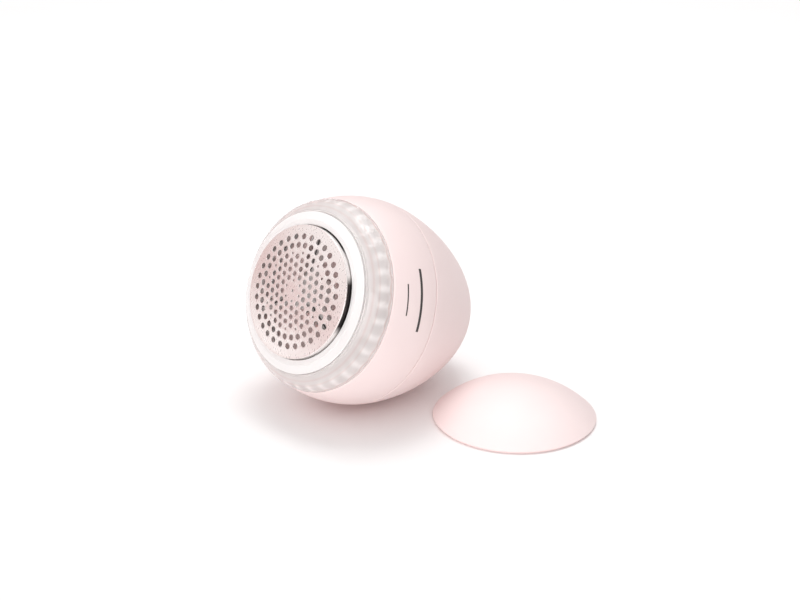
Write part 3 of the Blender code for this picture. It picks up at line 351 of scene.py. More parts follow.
def front_shell_profile():
    """Outer ellipse from the seam to the rim, the flat deck, the opening, and back inside to the tongue."""
    tongue_end = seam_z - tongue
    start = tail(0.0, 0.0, 30.0, 400)
    edge_radius = start[np.argmax(start[:, 1] <= seam_z), 0]
    tongue_out = edge_radius - tongue_share - seam_gap
    outer = nose(np.linspace(0.0, rim_z, 22))
    inner = nose(np.linspace(lip_back, 0.0, 14), shell_wall)
    tongue_in = tail(shell_wall, tongue_end, 20.0, 200)[0, 0]
    corners = np.vstack([[(edge_radius, seam_z)], outer,
                         [(deck_opening, rim_z), (deck_opening, lip_back)], inner,
                         [(tongue_in, tongue_end), (tongue_out - tongue_lead, tongue_end),
                          (tongue_out, seam_z)]])
    cuts = np.zeros(len(corners))
    cuts[0] = 0.3
    rim = len(outer)
    cuts[rim:rim + 3] = (0.4, 0.35, 0.3)
    cuts[-3:] = 0.25
    return refine(soften(corners, cuts), 1.0)


front_shell = turned("front_shell_skin", front_shell_profile(), pink)
screw_places = [(case_screw_circle * math.cos(screw_turn + math.tau * i / screw_count),
                 case_screw_circle * math.sin(screw_turn + math.tau * i / screw_count))
                for i in range(screw_count)]
combined(front_shell, [plug(f"bore_{i}", case_screw_bore, lip_back - past, rim_z + past, x, y, pink)
                       for i, (x, y) in enumerate(screw_places)]
         + [plug(f"sink_{i}", case_head_bore, rim_z - case_head_depth, rim_z + past, x, y, pink)
            for i, (x, y) in enumerate(screw_places)], "DIFFERENCE")
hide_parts("front_shell")
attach(front_shell, "root")
dress("soft_touch_pink", pink)


# Printed mark ------------------------------------------------------------------------------------
# Two plain bars of dark grey ink, pad-printed on the side of the front shell: a long heavy one and,
# in front of it, a short fine one.

ink_skin = 0.03
ink_bed = 0.06

def ink():
    """Matt grey-black pad-printing ink, a little uneven in cover and raised in a fine grain."""
    return moulded("printing_ink", (0.035, 0.03, 0.03), (0.06, 0.05, 0.05), 0.6, 5200.0)


def ink_bar(name, ends, width, material):
    """Strip of ink laid on the nose between two (angle, z) ends.

    Its corners are at z -/+ width / 2, sunk into the nose by the bed or standing out from it by the skin."""
    run = np.linspace(0.0, 1.0, 60)
    angle = ends[0][0] + (ends[1][0] - ends[0][0]) * run
    middle = ends[0][1] + (ends[1][1] - ends[0][1]) * run
    rows = []
    for side, depth in ((0, -ink_bed), (-1, -ink_bed), (-1, ink_skin), (1, ink_skin), (1, -ink_bed),
                        (0, -ink_bed)):
        z = middle + side * width / 2
        radius = nose(z)[:, 0] + depth
        rows.append(np.column_stack([radius * np.cos(angle), radius * np.sin(angle), z]))
    grid = np.stack(rows, axis=1)
    caps = [np.repeat(grid[k:k + 1].mean(axis=1, keepdims=True), len(rows), axis=1) for k in (0, -1)]
    grid = np.concatenate([caps[0], grid, caps[1]])
    bar = shaped(name, grid.reshape(-1, 3), net(grid), material)
    bar.data.shade_flat()
    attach(bar, "root")


mark_ink = ink()
ink_bar("printed_bar_long", ((math.radians(-57.1), 5.02), (math.radians(-91.1), 4.04)), 0.95, mark_ink)
ink_bar("printed_bar_short", ((math.radians(-66.2), 10.27), (math.radians(-83.6), 9.88)), 0.45, mark_ink)


# Rear shell --------------------------------------------------------------------------------------
# The rear half of the case, the same moulding and paint. It has the posts for the case screws, the
# window for the charging socket, the bore for the light pipe and the hole for the power button.

button_hole = 8.4
post_radius = 2.1
post_top = 10.2
post_bore_depth = 14.0
socket_z = -36.4
socket_half_width = 4.05
socket_half_height = 1.6
socket_corner = 1.3
socket_reach = (14.0, 36.0)
light_radius = 1.1
light_side = 7.0
light_reach = (19.0, 36.0)


def rear_shell_profile():
    """Outer curve from the seam to the button's hole, then the inner curve back to the lip by the tongue."""
    front = seam_z - seam_gap
    shoulder = front - tongue
    outer = tail(0.0, front, button_hole, 60)
    inner = tail(shell_wall, shoulder, button_hole, 40)[::-1]
    lip_in = outer[0, 0] - tongue_share
    corners = np.vstack([outer, inner, [(lip_in - tongue_lead, shoulder), (lip_in, front)]])
    cuts = np.zeros(len(corners))
    cuts[0] = 0.3
    cuts[len(outer) - 1:len(outer) + 1] = 0.45
    cuts[-2:] = 0.25
    return refine(soften(corners, cuts), 1.0)


def slab(name, low, high, material, cut):
    """Box with rounded long edges: a softened rectangle in y and z, carried along x."""
    (x0, y0, z0), (x1, y1, z1) = low, high
    loop = soften([(y0, z0), (y1, z0), (y1, z1), (y0, z1)], cut, 5)
    loop = np.vstack([loop, loop[:1]])
    middle = loop[:-1].mean(axis=0)
    rows = [(x0, 0.0), (x0, 1.0), (x1, 1.0), (x1, 0.0)]
    grid = np.stack([np.column_stack([np.full(len(loop), x), middle + (loop - middle) * share])
                     for x, share in rows])
    return shaped(name, grid.reshape(-1, 3), net(grid), material)


def light_bore(material):
    """Round bore for the light pipe, turned about x instead of z and set beside the socket."""
    near, far = light_reach
    profile = [(0.0, near), (light_radius, near), (light_radius, far), (0.0, far)]
    return turned("light_bore", profile, material, 32,
                  lambda p: on_shaver(p[:, [2, 0, 1]] + np.array([0.0, light_side, socket_z])))


rear_shell = turned("rear_shell_skin", rear_shell_profile(), pink)
post_foot = tail(shell_wall / 2, 0.0, case_screw_circle + post_radius, 400)[-1, 1]
posts = [plug(f"post_{i}", post_radius, post_foot, post_top, x, y, pink)
         for i, (x, y) in enumerate(screw_places)]
combined(rear_shell, posts, "UNION")
combined(rear_shell,
         [plug(f"post_bore_{i}", case_screw_bore, post_top - post_bore_depth, post_top + past, x, y, pink)
          for i, (x, y) in enumerate(screw_places)]
         + [slab("socket_window", (socket_reach[0], -socket_half_width, socket_z - socket_half_height),
                 (socket_reach[1], socket_half_width, socket_z + socket_half_height), pink, socket_corner),
            light_bore(pink)], "DIFFERENCE")
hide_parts("rear_shell")
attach(rear_shell, "root")


# Lint container ----------------------------------------------------------------------------------
# A clear acrylic cup wall between the rim and the foil head. Thirty-six moulded ribs run down inside
# its shoulder to a scalloped foot, and it pulls straight off to be emptied.

ribs = 36
foot_z = 15.5
foot_radius = 32.15
shoulder_spread = 4.6
shoulder_rise = 6.7
shoulder_bulge = 0.9
neck_top = 22.9
neck_out = 27.45
neck_in = 26.75
container_wall = 1.3
spigot_in = 25.35
spigot_out = 26.55
spigot_z = 14.2
rib_height = 0.4
scallop_height = 0.45


def clear_plastic(name, tint, roughness, haze, body):
    """Clear moulded acrylic with faint flow waves.

    haze is the share of light it scatters, and body the share that doesn't pass straight through."""
    material, nodes, link, shader = tree(name)
    where = nodes.new("ShaderNodeTexCoord")
    waves = noise(nodes, link, where, 160.0, 2.0)
    link(tinted(nodes, link, waves, tuple(0.985 * c for c in tint), tint), shader.inputs["Base Color"])
    link(spread(nodes, link, waves, roughness * 0.8, roughness * 1.2), shader.inputs["Roughness"])
    link(raised(nodes, link, waves, 0.00004, 0.5), shader.inputs["Normal"])
    shader.inputs["Transmission Weight"].default_value = 1.0 - haze
    shader.inputs["IOR"].default_value = 1.49
    shader.inputs["Alpha"].default_value = body
    return material


def ribbed_acrylic():
    """Clear acrylic that scatters more where the mesh's rib value is 1. Where its second value is 1 it is tinted
    pink: a painted reflection of the pink case in the clear wall.
    """
    material = clear_plastic("ribbed_acrylic", (0.995, 0.97, 0.963), 0.06, 0.62, 0.6)
    nodes = material.node_tree.nodes
    link = material.node_tree.links.new
    shader = nodes["Principled BSDF"]
    rib = nodes.new("ShaderNodeAttribute")
    rib.attribute_name = "rib"
    painted_reflection = nodes.new("ShaderNodeAttribute")
    painted_reflection.attribute_name = "painted_reflection"
    for socket, plain, ribbed in (("Transmission Weight", 0.38, 0.2), ("Alpha", 0.6, 0.78)):
        change = nodes.new("ShaderNodeMapRange")
        change.inputs["To Min"].default_value = plain
        change.inputs["To Max"].default_value = ribbed
        link(rib.outputs["Fac"], change.inputs["Value"])
        link(change.outputs["Result"], shader.inputs[socket])
    # Painted reflection: colour B is pink laid on the clear wall by the mesh's reflection value, standing in for
    # the pink case reflected there.
    tint = nodes.new("ShaderNodeMix")
    tint.data_type = "RGBA"
    tint.inputs["A"].default_value = (0.995, 0.97, 0.963, 1.0)
    tint.inputs["B"].default_value = (0.87, 0.66, 0.62, 1.0)
    link(painted_reflection.outputs["Fac"], tint.inputs["Factor"])
    link(tint.outputs["Result"], shader.inputs["Base Color"])
    return material


def mark_ribs(mesh):
    """Gives the container's mesh its rib value and its painted pink reflection from each point's angle a and
    height share s.

    rib = (0.5 + 0.5 cos(ribs a))^2 between the foot and the shoulder. The painted reflection is 1 on the line
    s = 0.13 + 0.035 cos(ribs a), and fades away from two fine rings near the neck."""
    places = local_points(mesh)
    angle = np.arctan2(places[:, 1], places[:, 0])
    s = (places[:, 2] - foot_z) / shoulder_rise
    rib = (0.5 + 0.5 * np.cos(ribs * angle)) ** 2
    rib *= np.clip((s - 0.12) / 0.1, 0.0, 1.0) * np.clip((0.75 - s) / 0.15, 0.0, 1.0)
    # Painted reflection: a pink wavy line along the foot and two faint rings near the neck, standing in for the
    # pink case seen in the clear wall.
    painted_reflection = np.exp(-((s - 0.13 - 0.035 * np.cos(ribs * angle)) / 0.035) ** 2)
    for height in (0.66, 0.86):
        painted_reflection = np.maximum(painted_reflection, 0.5 * np.exp(-((s - height) / 0.03) ** 2))
    mesh.attributes.new("rib", "FLOAT", "POINT").data.foreach_set("value", rib.astype(np.float32))
    mesh.attributes.new("painted_reflection", "FLOAT", "POINT").data.foreach_set("value", painted_reflection.astype(np.float32))


clear = ribbed_acrylic()


def container_grid(columns=432):
    """The container's wall as one ring of profiles.

    Outside: r = foot - spread * s + bulge * sin(pi s), z rises with s from the foot to the neck.
    Inside: the same curve moved in by the wall, plus a rib wherever cos(ribs * a) is near 1."""
    angle = np.linspace(0.0, math.tau, columns + 1)
    s = np.linspace(0.0, 1.0, 30)
    lift = shoulder_bulge * np.sin(np.pi * s)
    outer = np.column_stack([foot_radius - shoulder_spread * s + lift,
                             foot_z + shoulder_rise * s + 0.6 * lift])
    neck = np.array([(neck_out, 22.6), (neck_out - 0.1, neck_top), (neck_in + 0.05, neck_top),
                     (neck_in, 22.6), (neck_in, 21.6)])
    t = np.linspace(0.93, 0.06, 34)
    swell = shoulder_bulge * np.sin(np.pi * t)
    inner = np.column_stack([foot_radius - shoulder_spread * t + swell - container_wall,
                             foot_z + shoulder_rise * t + 0.6 * swell - container_wall / 2])
    foot = np.array([(spigot_in, 16.1), (spigot_in, 14.4), (spigot_in + 0.1, spigot_z),
                     (spigot_out - 0.1, spigot_z), (spigot_out, 14.3), (spigot_out, foot_z),
                     (foot_radius - 0.25, foot_z)])
    profile = np.vstack([outer, neck, inner, foot, outer[:1]])
    radius = np.repeat(profile[:, :1], columns + 1, axis=1)
    z = np.repeat(profile[:, 1:], columns + 1, axis=1)
    first = len(outer) + len(neck)
    rib = np.exp(-(np.sin(ribs * angle / 2) / 0.42) ** 2)
    fade = np.clip((0.9 - t) / 0.25, 0, 1) * np.clip((t - 0.1) / 0.12, 0, 1)
    scallop = 0.5 + 0.5 * np.cos(ribs * angle)
    foot_band = np.exp(-((t - 0.17) / 0.07) ** 2)
    radius[first:first + len(t)] -= (rib_height * fade[:, None] * rib
                                     + scallop_height * foot_band[:, None] * scallop)
    return np.stack([radius * np.cos(angle), radius * np.sin(angle), z], axis=-1)


container = container_grid()
container = shaped("lint_container_wall", container.reshape(-1, 3), net(container), clear)
mark_ribs(container.data)
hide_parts("lint_container")
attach(container, "container")
dress("clear_plastic", clear)


# Foil ring ---------------------------------------------------------------------------------------
# The clear ring that clips the foil down. It turns in the container's neck, and its flat lip shows as
# a bright band round the foil, one fine step above a sloping shoulder.

ring_clear = clear_plastic("ring_acrylic", (0.995, 0.99, 0.985), 0.08, 0.85, 0.9)
ring_mouth = 22.3
ring_face = 24.5
brim_radius = 26.75
collar_radius = 26.45
collar_z = 19.6
seat_radius = 23.6
ring_profile = soften([(ring_mouth, ring_face), (24.05, ring_face), (24.15, 24.3), (brim_radius, 23.5),
                       (brim_radius, 23.2), (collar_radius, 23.2), (collar_radius, collar_z),
                       (collar_radius - 1.0, collar_z), (seat_radius, 21.5), (seat_radius, 23.1),
                       (ring_mouth, 23.1)],
                      [0.25, 0.08, 0.08, 0.15, 0.1, 0.1, 0.25, 0.25, 0.3, 0.15, 0.15])
foil_ring = turned("foil_ring_lip", refine(ring_profile, 0.5), ring_clear)
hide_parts("foil_ring")
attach(foil_ring, "foil_head")


# Cutting foil ------------------------------------------------------------------------------------
# A 0.2 mm stainless disc drawn into a dish with a slightly domed face. A honeycomb of round holes and
# two rings of larger ones are etched through it, each with a rounded mouth that catches the light.

foil_radius = 22.0
foil_face = 26.5
foil_thickness = 0.2
foil_bend = 0.5
flange_radius = 23.3
flange_z = 22.6
hole_pitch = 2.82
hole_mouth = 0.1
hole_radius = 0.875
dot_radius = 0.425
dot_circles = (3.4, 12.6)
dot_spread = math.radians(10.5)
large_radius = 1.0
large_circles = (15.1, 18.0)
large_count = 32
face_depth = 0.35
pattern_turn = math.radians(15.0)
ring_turn = math.radians(-21.0)
foil_dome = 2.1
# Painted shade on the foil's drawn wall: arcs (middle and half width in degrees, top height) painted near-black,
# and the width of their fade.
painted_shade_arcs = ((18.0, 22.0, 25.0), (86.0, 26.0, 26.5))
painted_shade_fade = 8.0


def crown(radius):
    """The foil's height in front of its edge: dome * (1 - (r / flat radius)^2), and none outside it."""
    return foil_dome * np.clip(1 - (radius / (foil_radius - foil_bend)) ** 2, 0.0, 1.0)


def foil_holes():
    """Rows of (x, y, radius): honeycomb rings with small dots between, then two rings of larger holes."""
    def fan(radius, angles, size):
        return np.column_stack([radius * np.cos(angles), radius * np.sin(angles), np.full(len(angles), size)])

    sixth = math.tau / 6 * np.arange(6)
    holes = [np.array([(0.0, 0.0, dot_radius)]), fan(dot_circles[0], sixth, dot_radius)]
    for ring, steps in ((2, (0, 1)), (3, (0, 1, 2)), (4, (0, 1, 2, 3)), (5, (2, 3))):
        for step in steps:
            x = hole_pitch * (ring * np.cos(sixth) + step * np.cos(sixth + math.tau / 3))
            y = hole_pitch * (ring * np.sin(sixth) + step * np.sin(sixth + math.tau / 3))
            holes.append(np.column_stack([x, y, np.full(6, hole_radius)]))
    for side in (-1, 1):
        holes.append(fan(dot_circles[1], sixth + side * dot_spread, dot_radius))
    around = ring_turn + math.tau / large_count * np.arange(large_count)
    holes += [fan(large_circles[0], around, large_radius),
              fan(large_circles[1], around + math.pi / large_count, large_radius)]
    holes = np.vstack(holes)
    turn = np.array([(math.cos(pattern_turn), math.sin(pattern_turn)),
                     (-math.sin(pattern_turn), math.cos(pattern_turn))])
    holes[:, :2] = holes[:, :2] @ turn
    return holes


def foil_mesh(material, hole_sides=20, edge_sides=180):
    """Perforated face, the wall of each hole, and the drawn edge and flange turned round it.

    The face is a triangulation between the hole mouths and the edge. It and the hole walls are then lifted
    by crown(r) into a shallow dome."""
    holes = foil_holes()
    ring = math.tau * np.arange(hole_sides) / hole_sides
    unit = np.column_stack([np.cos(ring), np.sin(ring)])
    mouths = holes[:, None, :2] + (holes[:, 2, None, None] + hole_mouth) * unit[None]
    edge = math.tau * np.arange(edge_sides) / edge_sides
    rim = (foil_radius - foil_bend) * np.column_stack([np.cos(edge), np.sin(edge)])
    inner_rim = rim * (1 - face_depth / foil_radius)
    flat = np.vstack([mouths.reshape(-1, 2), inner_rim, rim])
    sides = []
    for count, size in [(len(holes), hole_sides), (2, edge_sides)]:
        base = 0 if size == hole_sides else mouths.shape[0] * hole_sides
        index = base + np.arange(count * size).reshape(count, size)
        sides.append(np.stack([index, np.roll(index, -1, axis=1)], -1).reshape(-1, 2))
    result = delaunay_2d_cdt([Vector(p) for p in flat], np.vstack(sides).tolist(), [], 0, 1e-6)
    spots = np.array([tuple(v) for v in result[0]])
    triangles = np.array(result[2])
    middle = spots[triangles].mean(axis=1)
    away = np.linalg.norm(middle[:, None] - holes[None, :, :2], axis=2)
    triangles = triangles[(away > holes[:, 2] + hole_mouth * 0.5).all(axis=1)]
    reach = np.linalg.norm(spots[:, None] - holes[None, :, :2], axis=2)
    nearest = np.argmin(np.abs(reach - holes[:, 2] - hole_mouth), axis=1)
    on_mouth = np.abs(reach[np.arange(len(spots)), nearest] - holes[nearest, 2] - hole_mouth) < 1e-3
    shrink = np.where(on_mouth, holes[nearest, 2] / (holes[nearest, 2] + hole_mouth), 1.0)[:, None]
    below = holes[nearest, :2] + (spots - holes[nearest, :2]) * shrink
    below = np.where(on_mouth[:, None], below, spots)
    top = np.column_stack([spots, np.full(len(spots), foil_face)])
    bottom = np.column_stack([below, np.full(len(spots), foil_face - foil_thickness)])
    three = np.column_stack([triangles, triangles[:, 2]])
    walls = []
    arc = np.linspace(0.0, math.pi / 2, 4)
    for fall, inward in list(zip(1 - np.cos(arc), np.sin(arc))) + [(foil_thickness / hole_mouth, 1.0)]:
        loop = holes[:, None, :2] + (holes[:, 2, None, None] + hole_mouth * (1 - inward)) * unit[None]
        z = np.full(loop.shape[:2] + (1,), foil_face - hole_mouth * fall)
        walls.append(np.concatenate([loop, z], axis=2))
    walls = np.stack(walls, axis=1)
    walls = np.concatenate([walls, walls[:, :, :1]], axis=2)
    overlap = foil_radius - foil_bend - 0.01
    flange_top = flange_z + foil_thickness
    inside = foil_radius - foil_thickness
    drawn = soften([(overlap, foil_face), (foil_radius, foil_face), (foil_radius, flange_top),
                    (flange_radius, flange_top), (flange_radius, flange_z), (inside, flange_z),
                    (inside, foil_face - foil_thickness), (overlap, foil_face - foil_thickness)],
                   [0.0, 0.5, 0.15, 0.05, 0.05, 0.15, 0.3, 0.0], 7)
    skirt = drawn[drawn[:, 0] > foil_radius - foil_bend]
    outline = np.vstack([[(foil_radius - foil_bend, foil_face)], skirt,
                         [(foil_radius - foil_bend, foil_face - foil_thickness)]])
    dish = swept(refine(outline, 0.5, closed=False), edge_sides)
    points = [top, bottom, walls.reshape(-1, 3), dish.reshape(-1, 3)]
    faces = [three, three[:, ::-1] + len(top)]
    start = len(top) + len(bottom)
    index = start + np.arange(walls.shape[0] * walls.shape[1] * walls.shape[2]).reshape(walls.shape[:3])
    faces.append(np.stack([index[:, :-1, :-1], index[:, :-1, 1:], index[:, 1:, 1:], index[:, 1:, :-1]],
                          -1).reshape(-1, 4))
    faces.append(net(dish, start + walls.shape[0] * walls.shape[1] * walls.shape[2])[:, ::-1])
    points = np.vstack(points)
    lift = crown(np.hypot(points[:, 0], points[:, 1]))
    points[:, 2] += np.where(points[:, 2] > foil_face - face_depth, lift, 0.0)
    return shaped("cutting_foil", points, np.vstack(faces), material)


def foil_steel():
    """Etched stainless foil: a satin skin with fine rolling marks across it and a faint warm tint."""
    material, nodes, link, shader = tree("foil_steel")
    where = nodes.new("ShaderNodeTexCoord")
    stretch = nodes.new("ShaderNodeMapping")
    stretch.inputs["Scale"].default_value = (1.0, 1.0, 0.08)
    link(where.outputs["Object"], stretch.inputs["Vector"])
    marks = nodes.new("ShaderNodeTexNoise")
    marks.inputs["Scale"].default_value = 2400.0
    link(stretch.outputs["Vector"], marks.inputs["Vector"])
    cloud = noise(nodes, link, where, 260.0)
    link(tinted(nodes, link, cloud, (0.88, 0.815, 0.79), (0.92, 0.865, 0.85)), shader.inputs["Base Color"])
    link(spread(nodes, link, marks.outputs["Fac"], 0.26, 0.33), shader.inputs["Roughness"])
    link(raised(nodes, link, marks.outputs["Fac"], 0.000004, 0.1), shader.inputs["Normal"])
    shader.inputs["Metallic"].default_value = 0.6
    return material


def drawn_edge():
    """The foil's drawn side wall: polished, and painted near-black on two arcs as painted shade from the gap by
    the ring, where the mesh's shade value is 1.
    """
    material, nodes, link, shader = tree("foil_edge")
    where = nodes.new("ShaderNodeTexCoord")
    stain = noise(nodes, link, where, 90.0)
    painted_shade = nodes.new("ShaderNodeAttribute")
    painted_shade.attribute_name = "painted_shade"
    cover = nodes.new("ShaderNodeMix")
    cover.data_type = "RGBA"
    link(painted_shade.outputs["Fac"], cover.inputs["Factor"])
    link(tinted(nodes, link, stain, (0.86, 0.83, 0.82), (0.93, 0.9, 0.89)), cover.inputs["A"])
    # Colour B is painted shade: near-black laid on the polished wall where the mesh's shade value is 1.
    link(tinted(nodes, link, stain, (0.02, 0.018, 0.018), (0.06, 0.05, 0.05)), cover.inputs["B"])
    link(cover.outputs["Result"], shader.inputs["Base Color"])
    link(spread(nodes, link, stain, 0.08, 0.2), shader.inputs["Roughness"])
    shader.inputs["Metallic"].default_value = 0.9
    return material


def dress_foil(mesh):
    """Gives the drawn wall its own finish and its painted shade, and every corner its normal.

    On the dome the normal is that of z = crown(r): (2 dome x / R^2, 2 dome y / R^2, 1). Elsewhere it is the
    mesh's own. The painted shade, a dark band that stands in for shade on the wall, is 1 within each arc
    (middle and half width in degrees) and below its top height."""
    count = len(mesh.polygons)
    normals = np.empty(count * 3)
    centres = np.empty(count * 3)
    mesh.polygons.foreach_get("normal", normals)
    mesh.polygons.foreach_get("center", centres)
    axes = np.array([UP, ACROSS, OUT])
    normals = normals.reshape(-1, 3) @ axes.T
    centres = (centres.reshape(-1, 3) - CENTRE) / MM @ axes.T
    radius = np.hypot(centres[:, 0], centres[:, 1])
    wall = ((radius > foil_radius - foil_thickness / 2) & (centres[:, 2] < foil_face - face_depth)
            & (centres[:, 2] > flange_z + foil_thickness))
    mesh.polygons.foreach_set("material_index", wall.astype(np.int32))
    slope = 2 * foil_dome / (foil_radius - foil_bend) ** 2
    steepest = 1.1 * slope * foil_radius
    face = (radius < foil_radius - foil_bend) & (np.abs(normals[:, 2]) > math.cos(steepest))
    sides = np.empty(count, np.int32)
    mesh.polygons.foreach_get("loop_total", sides)
    on_face = np.repeat(face, sides)
    facing = np.repeat(np.sign(normals[:, 2]), sides)
    corner = np.empty(len(mesh.loops), np.int32)
    mesh.loops.foreach_get("vertex_index", corner)
    points = local_points(mesh)
    places = points[corner]
    domed = np.column_stack([slope * places[:, 0], slope * places[:, 1], np.ones(len(places))])
    domed *= (facing / np.linalg.norm(domed, axis=1))[:, None]
    own = np.empty(len(mesh.loops) * 3)
    mesh.corner_normals.foreach_get("vector", own)
    final = np.where(on_face[:, None], domed @ axes, own.reshape(-1, 3))
    mesh.normals_split_custom_set(final.tolist())
    # Painted shade: dark arcs on the drawn wall, set by angle round the axis and by height.
    around = -np.degrees(np.arctan2(points[:, 1], points[:, 0]))
    painted_shade = sum(np.clip((half - np.abs(around - middle)) / painted_shade_fade, 0.0, 1.0) * (points[:, 2] < top)
               for middle, half, top in painted_shade_arcs)
    mesh.attributes.new("painted_shade", "FLOAT", "POINT").data.foreach_set("value", painted_shade.astype(np.float32))


foil = foil_mesh(foil_steel())
foil.data.materials.append(drawn_edge())
dress_foil(foil.data)
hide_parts("foil")
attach(foil, "foil_head")


# Screws, motor can and socket --------------------------------------------------------------------
# Zinc-plated steel: the case, chassis, board and motor screws, the drawn motor can and the folded
# charging socket.

dress("zinc_steel", worked_metal("zinc_steel", (0.62, 0.63, 0.65), (0.74, 0.74, 0.75), 0.22, 0.4, 1500.0,
                                 (1.0, 1.0, 0.15)))


# White mouldings ---------------------------------------------------------------------------------
# Natural white nylon: the container's seal, the foil's retainer, the blade carrier and drive hub, the
# motor's end cap and the cell's cradle.

dress("white_plastic", moulded("white_nylon", (0.84, 0.82, 0.81), (0.9, 0.885, 0.875), 0.42))


# Blades and shaft --------------------------------------------------------------------------------
# Ground cutter steel: three blades moulded into the carrier under the foil, and the motor's shaft.

dress("blade_steel", worked_metal("blade_steel", (0.6, 0.59, 0.58), (0.74, 0.73, 0.72), 0.12, 0.3, 3200.0,
                                  (0.1, 1.0, 1.0)))


# Motor core --------------------------------------------------------------------------------------
# The wound armature and two ferrite magnets are dark and slightly rusty. The commutator is turned copper.

dress("armature_iron", worked_metal("armature_iron", (0.12, 0.1, 0.09), (0.22, 0.19, 0.17), 0.45, 0.7, 900.0))
dress("copper", worked_metal("copper", (0.72, 0.36, 0.22), (0.86, 0.48, 0.32), 0.18, 0.4, 2400.0,
                             (1.0, 1.0, 0.1)))


# Switch and wires --------------------------------------------------------------------------------
# Black phenolic for the push switch, its plunger, the socket's tongue and the black wires, and red PVC
# for the live ones.

dress("black_plastic", moulded("black_phenolic", (0.02, 0.02, 0.021), (0.04, 0.04, 0.042), 0.4))
dress("red_wire", moulded("red_vinyl", (0.5, 0.03, 0.025), (0.62, 0.06, 0.04), 0.35, 900.0))


# Cell --------------------------------------------------------------------------------------------
# A rechargeable cell in heat-shrunk sleeve: glossy, with faint shrink wrinkles and darker bands.

def shrink_sleeve():
    """Blue PVC film: a wave texture gives the darker bands and a noise the shrink wrinkles."""
    material, nodes, link, shader = tree("shrink_sleeve")
    where = nodes.new("ShaderNodeTexCoord")
    bands = nodes.new("ShaderNodeTexWave")
    bands.inputs["Scale"].default_value = 28.0
    bands.inputs["Distortion"].default_value = 0.4
    link(where.outputs["Object"], bands.inputs["Vector"])
    wrinkles = noise(nodes, link, where, 420.0, 4.0)
    link(tinted(nodes, link, bands.outputs["Fac"], (0.04, 0.11, 0.3), (0.08, 0.2, 0.45)),
         shader.inputs["Base Color"])
    link(spread(nodes, link, wrinkles, 0.16, 0.34), shader.inputs["Roughness"])
    link(raised(nodes, link, wrinkles, 0.00005, 0.5), shader.inputs["Normal"])
    return material


dress("cell_sleeve", shrink_sleeve())


# Circuit board -----------------------------------------------------------------------------------
# Green solder mask over glass laminate. Tracks show as lighter rectangles, with the weave under them.

def solder_mask():
    """Bricks of two greens stand for the copper under the mask, and a fine noise for the laminate's weave."""
    material, nodes, link, shader = tree("solder_mask")
    where = nodes.new("ShaderNodeTexCoord")
    tracks = nodes.new("ShaderNodeTexBrick")
    tracks.inputs["Scale"].default_value = 130.0
    tracks.inputs["Mortar Size"].default_value = 0.09
    tracks.inputs["Color1"].default_value = (0.012, 0.11, 0.045, 1.0)
    tracks.inputs["Color2"].default_value = (0.02, 0.16, 0.06, 1.0)
    tracks.inputs["Mortar"].default_value = (0.05, 0.26, 0.09, 1.0)
    link(where.outputs["Object"], tracks.inputs["Vector"])
    weave = noise(nodes, link, where, 2600.0, 2.0)
    link(tracks.outputs["Color"], shader.inputs["Base Color"])
    link(spread(nodes, link, weave, 0.2, 0.36), shader.inputs["Roughness"])
    link(raised(nodes, link, tracks.outputs["Fac"], 0.00003, 0.6), shader.inputs["Normal"])
    return material


dress("board_laminate", solder_mask())


# Power button ------------------------------------------------------------------------------------
# The round pink key in the rear pole. A stem inside it presses the push switch on the board.

button_radius = 8.0
button_flange = 1.2
button_stem = 2.5
button_hollow = 6.8
stem_end = -44.5
hollow_end = -48.2


def button_profile():
    """The body's own rear curve inside the button's radius, a plain side, a flange, a hollow and the stem."""
    pole = tail(0.0, -20.0, 0.0, 4001)
    pole = pole[pole[:, 0] <= button_radius][::-1]
    pole = pole[np.linspace(0, len(pole) - 1, 16).astype(int)]
    brim = button_radius + button_flange
    flange = tail(shell_wall, 0.0, brim, 4001)[-1, 1] + seam_gap
    corners = np.vstack([pole, [(button_radius, flange), (brim, flange), (brim, flange + 0.8),
                                (button_hollow, flange + 0.8), (button_hollow, hollow_end),
                                (button_stem, hollow_end), (button_stem, stem_end), (0.0, stem_end)]])
    cuts = np.zeros(len(corners))
    cuts[len(pole) - 1] = 0.6
    cuts[len(pole):-1] = 0.2
    soft = soften(corners[1:-1], cuts[1:-1])
    return refine(np.vstack([corners[:1], soft, corners[-1:]]), 0.8, closed=False)


button = turned("power_button_key", button_profile(), pink, 120)
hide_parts("power_button")
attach(button, "button")


# Dust cap ----------------------------------------------------------------------------------------
# A shallow dome, painted like the case, that snaps over the foil ring. Here it lies on its own
# standing ring beside the shaver.

cap_low, cap_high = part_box("cap")
cap_centre = np.array([(cap_low.x + cap_high.x) / 2, (cap_low.y + cap_high.y) / 2, cap_low.z])
cap_radius = 27.55
cap_height = 11.35
cap_lift = 0.8
cap_wall = 1.3
cap_ring_out = 26.8
cap_ring_in = 25.6


def on_table(points):
    """Row frame = the cap's centre on the table + the cap's own millimetres made metres."""
    return cap_centre + MM * points


def cap_profile():
    """Outer dome (part of a sphere), the rim's underside, the standing ring and the inner dome."""
    ball = (cap_radius ** 2 + cap_height ** 2) / (2 * cap_height)
    centre = cap_lift + cap_height - ball

    def dome(radius, reach, count):
        lean = np.linspace(0.0, math.asin(reach / radius), count)
        return np.column_stack([radius * np.sin(lean), centre + radius * np.cos(lean)])

    outer = dome(ball, cap_radius, 30)
    inner = dome(ball - cap_wall, cap_ring_in, 24)[::-1]
    ring = [(cap_ring_out, cap_lift), (cap_ring_out, 0.0), (cap_ring_in, 0.0)]
    corners = np.vstack([outer, ring, inner])
    cuts = np.zeros(len(corners))
    cuts[len(outer) - 1:len(outer) + 3] = (0.45, 0.2, 0.3, 0.3)
    soft = soften(corners[1:-1], cuts[1:-1])
    return refine(np.vstack([corners[:1], soft, corners[-1:]]), 1.0, closed=False)


cap = turned("dust_cap", cap_profile(), pink, 192, on_table)
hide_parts("cap")
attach(cap, "cap")


# Table, light and camera -------------------------------------------------------------------------
# A white table in a bright room, under one overhead lamp. A large fill lamp in front lights only the
# shaver, so that its shadow stays deep.

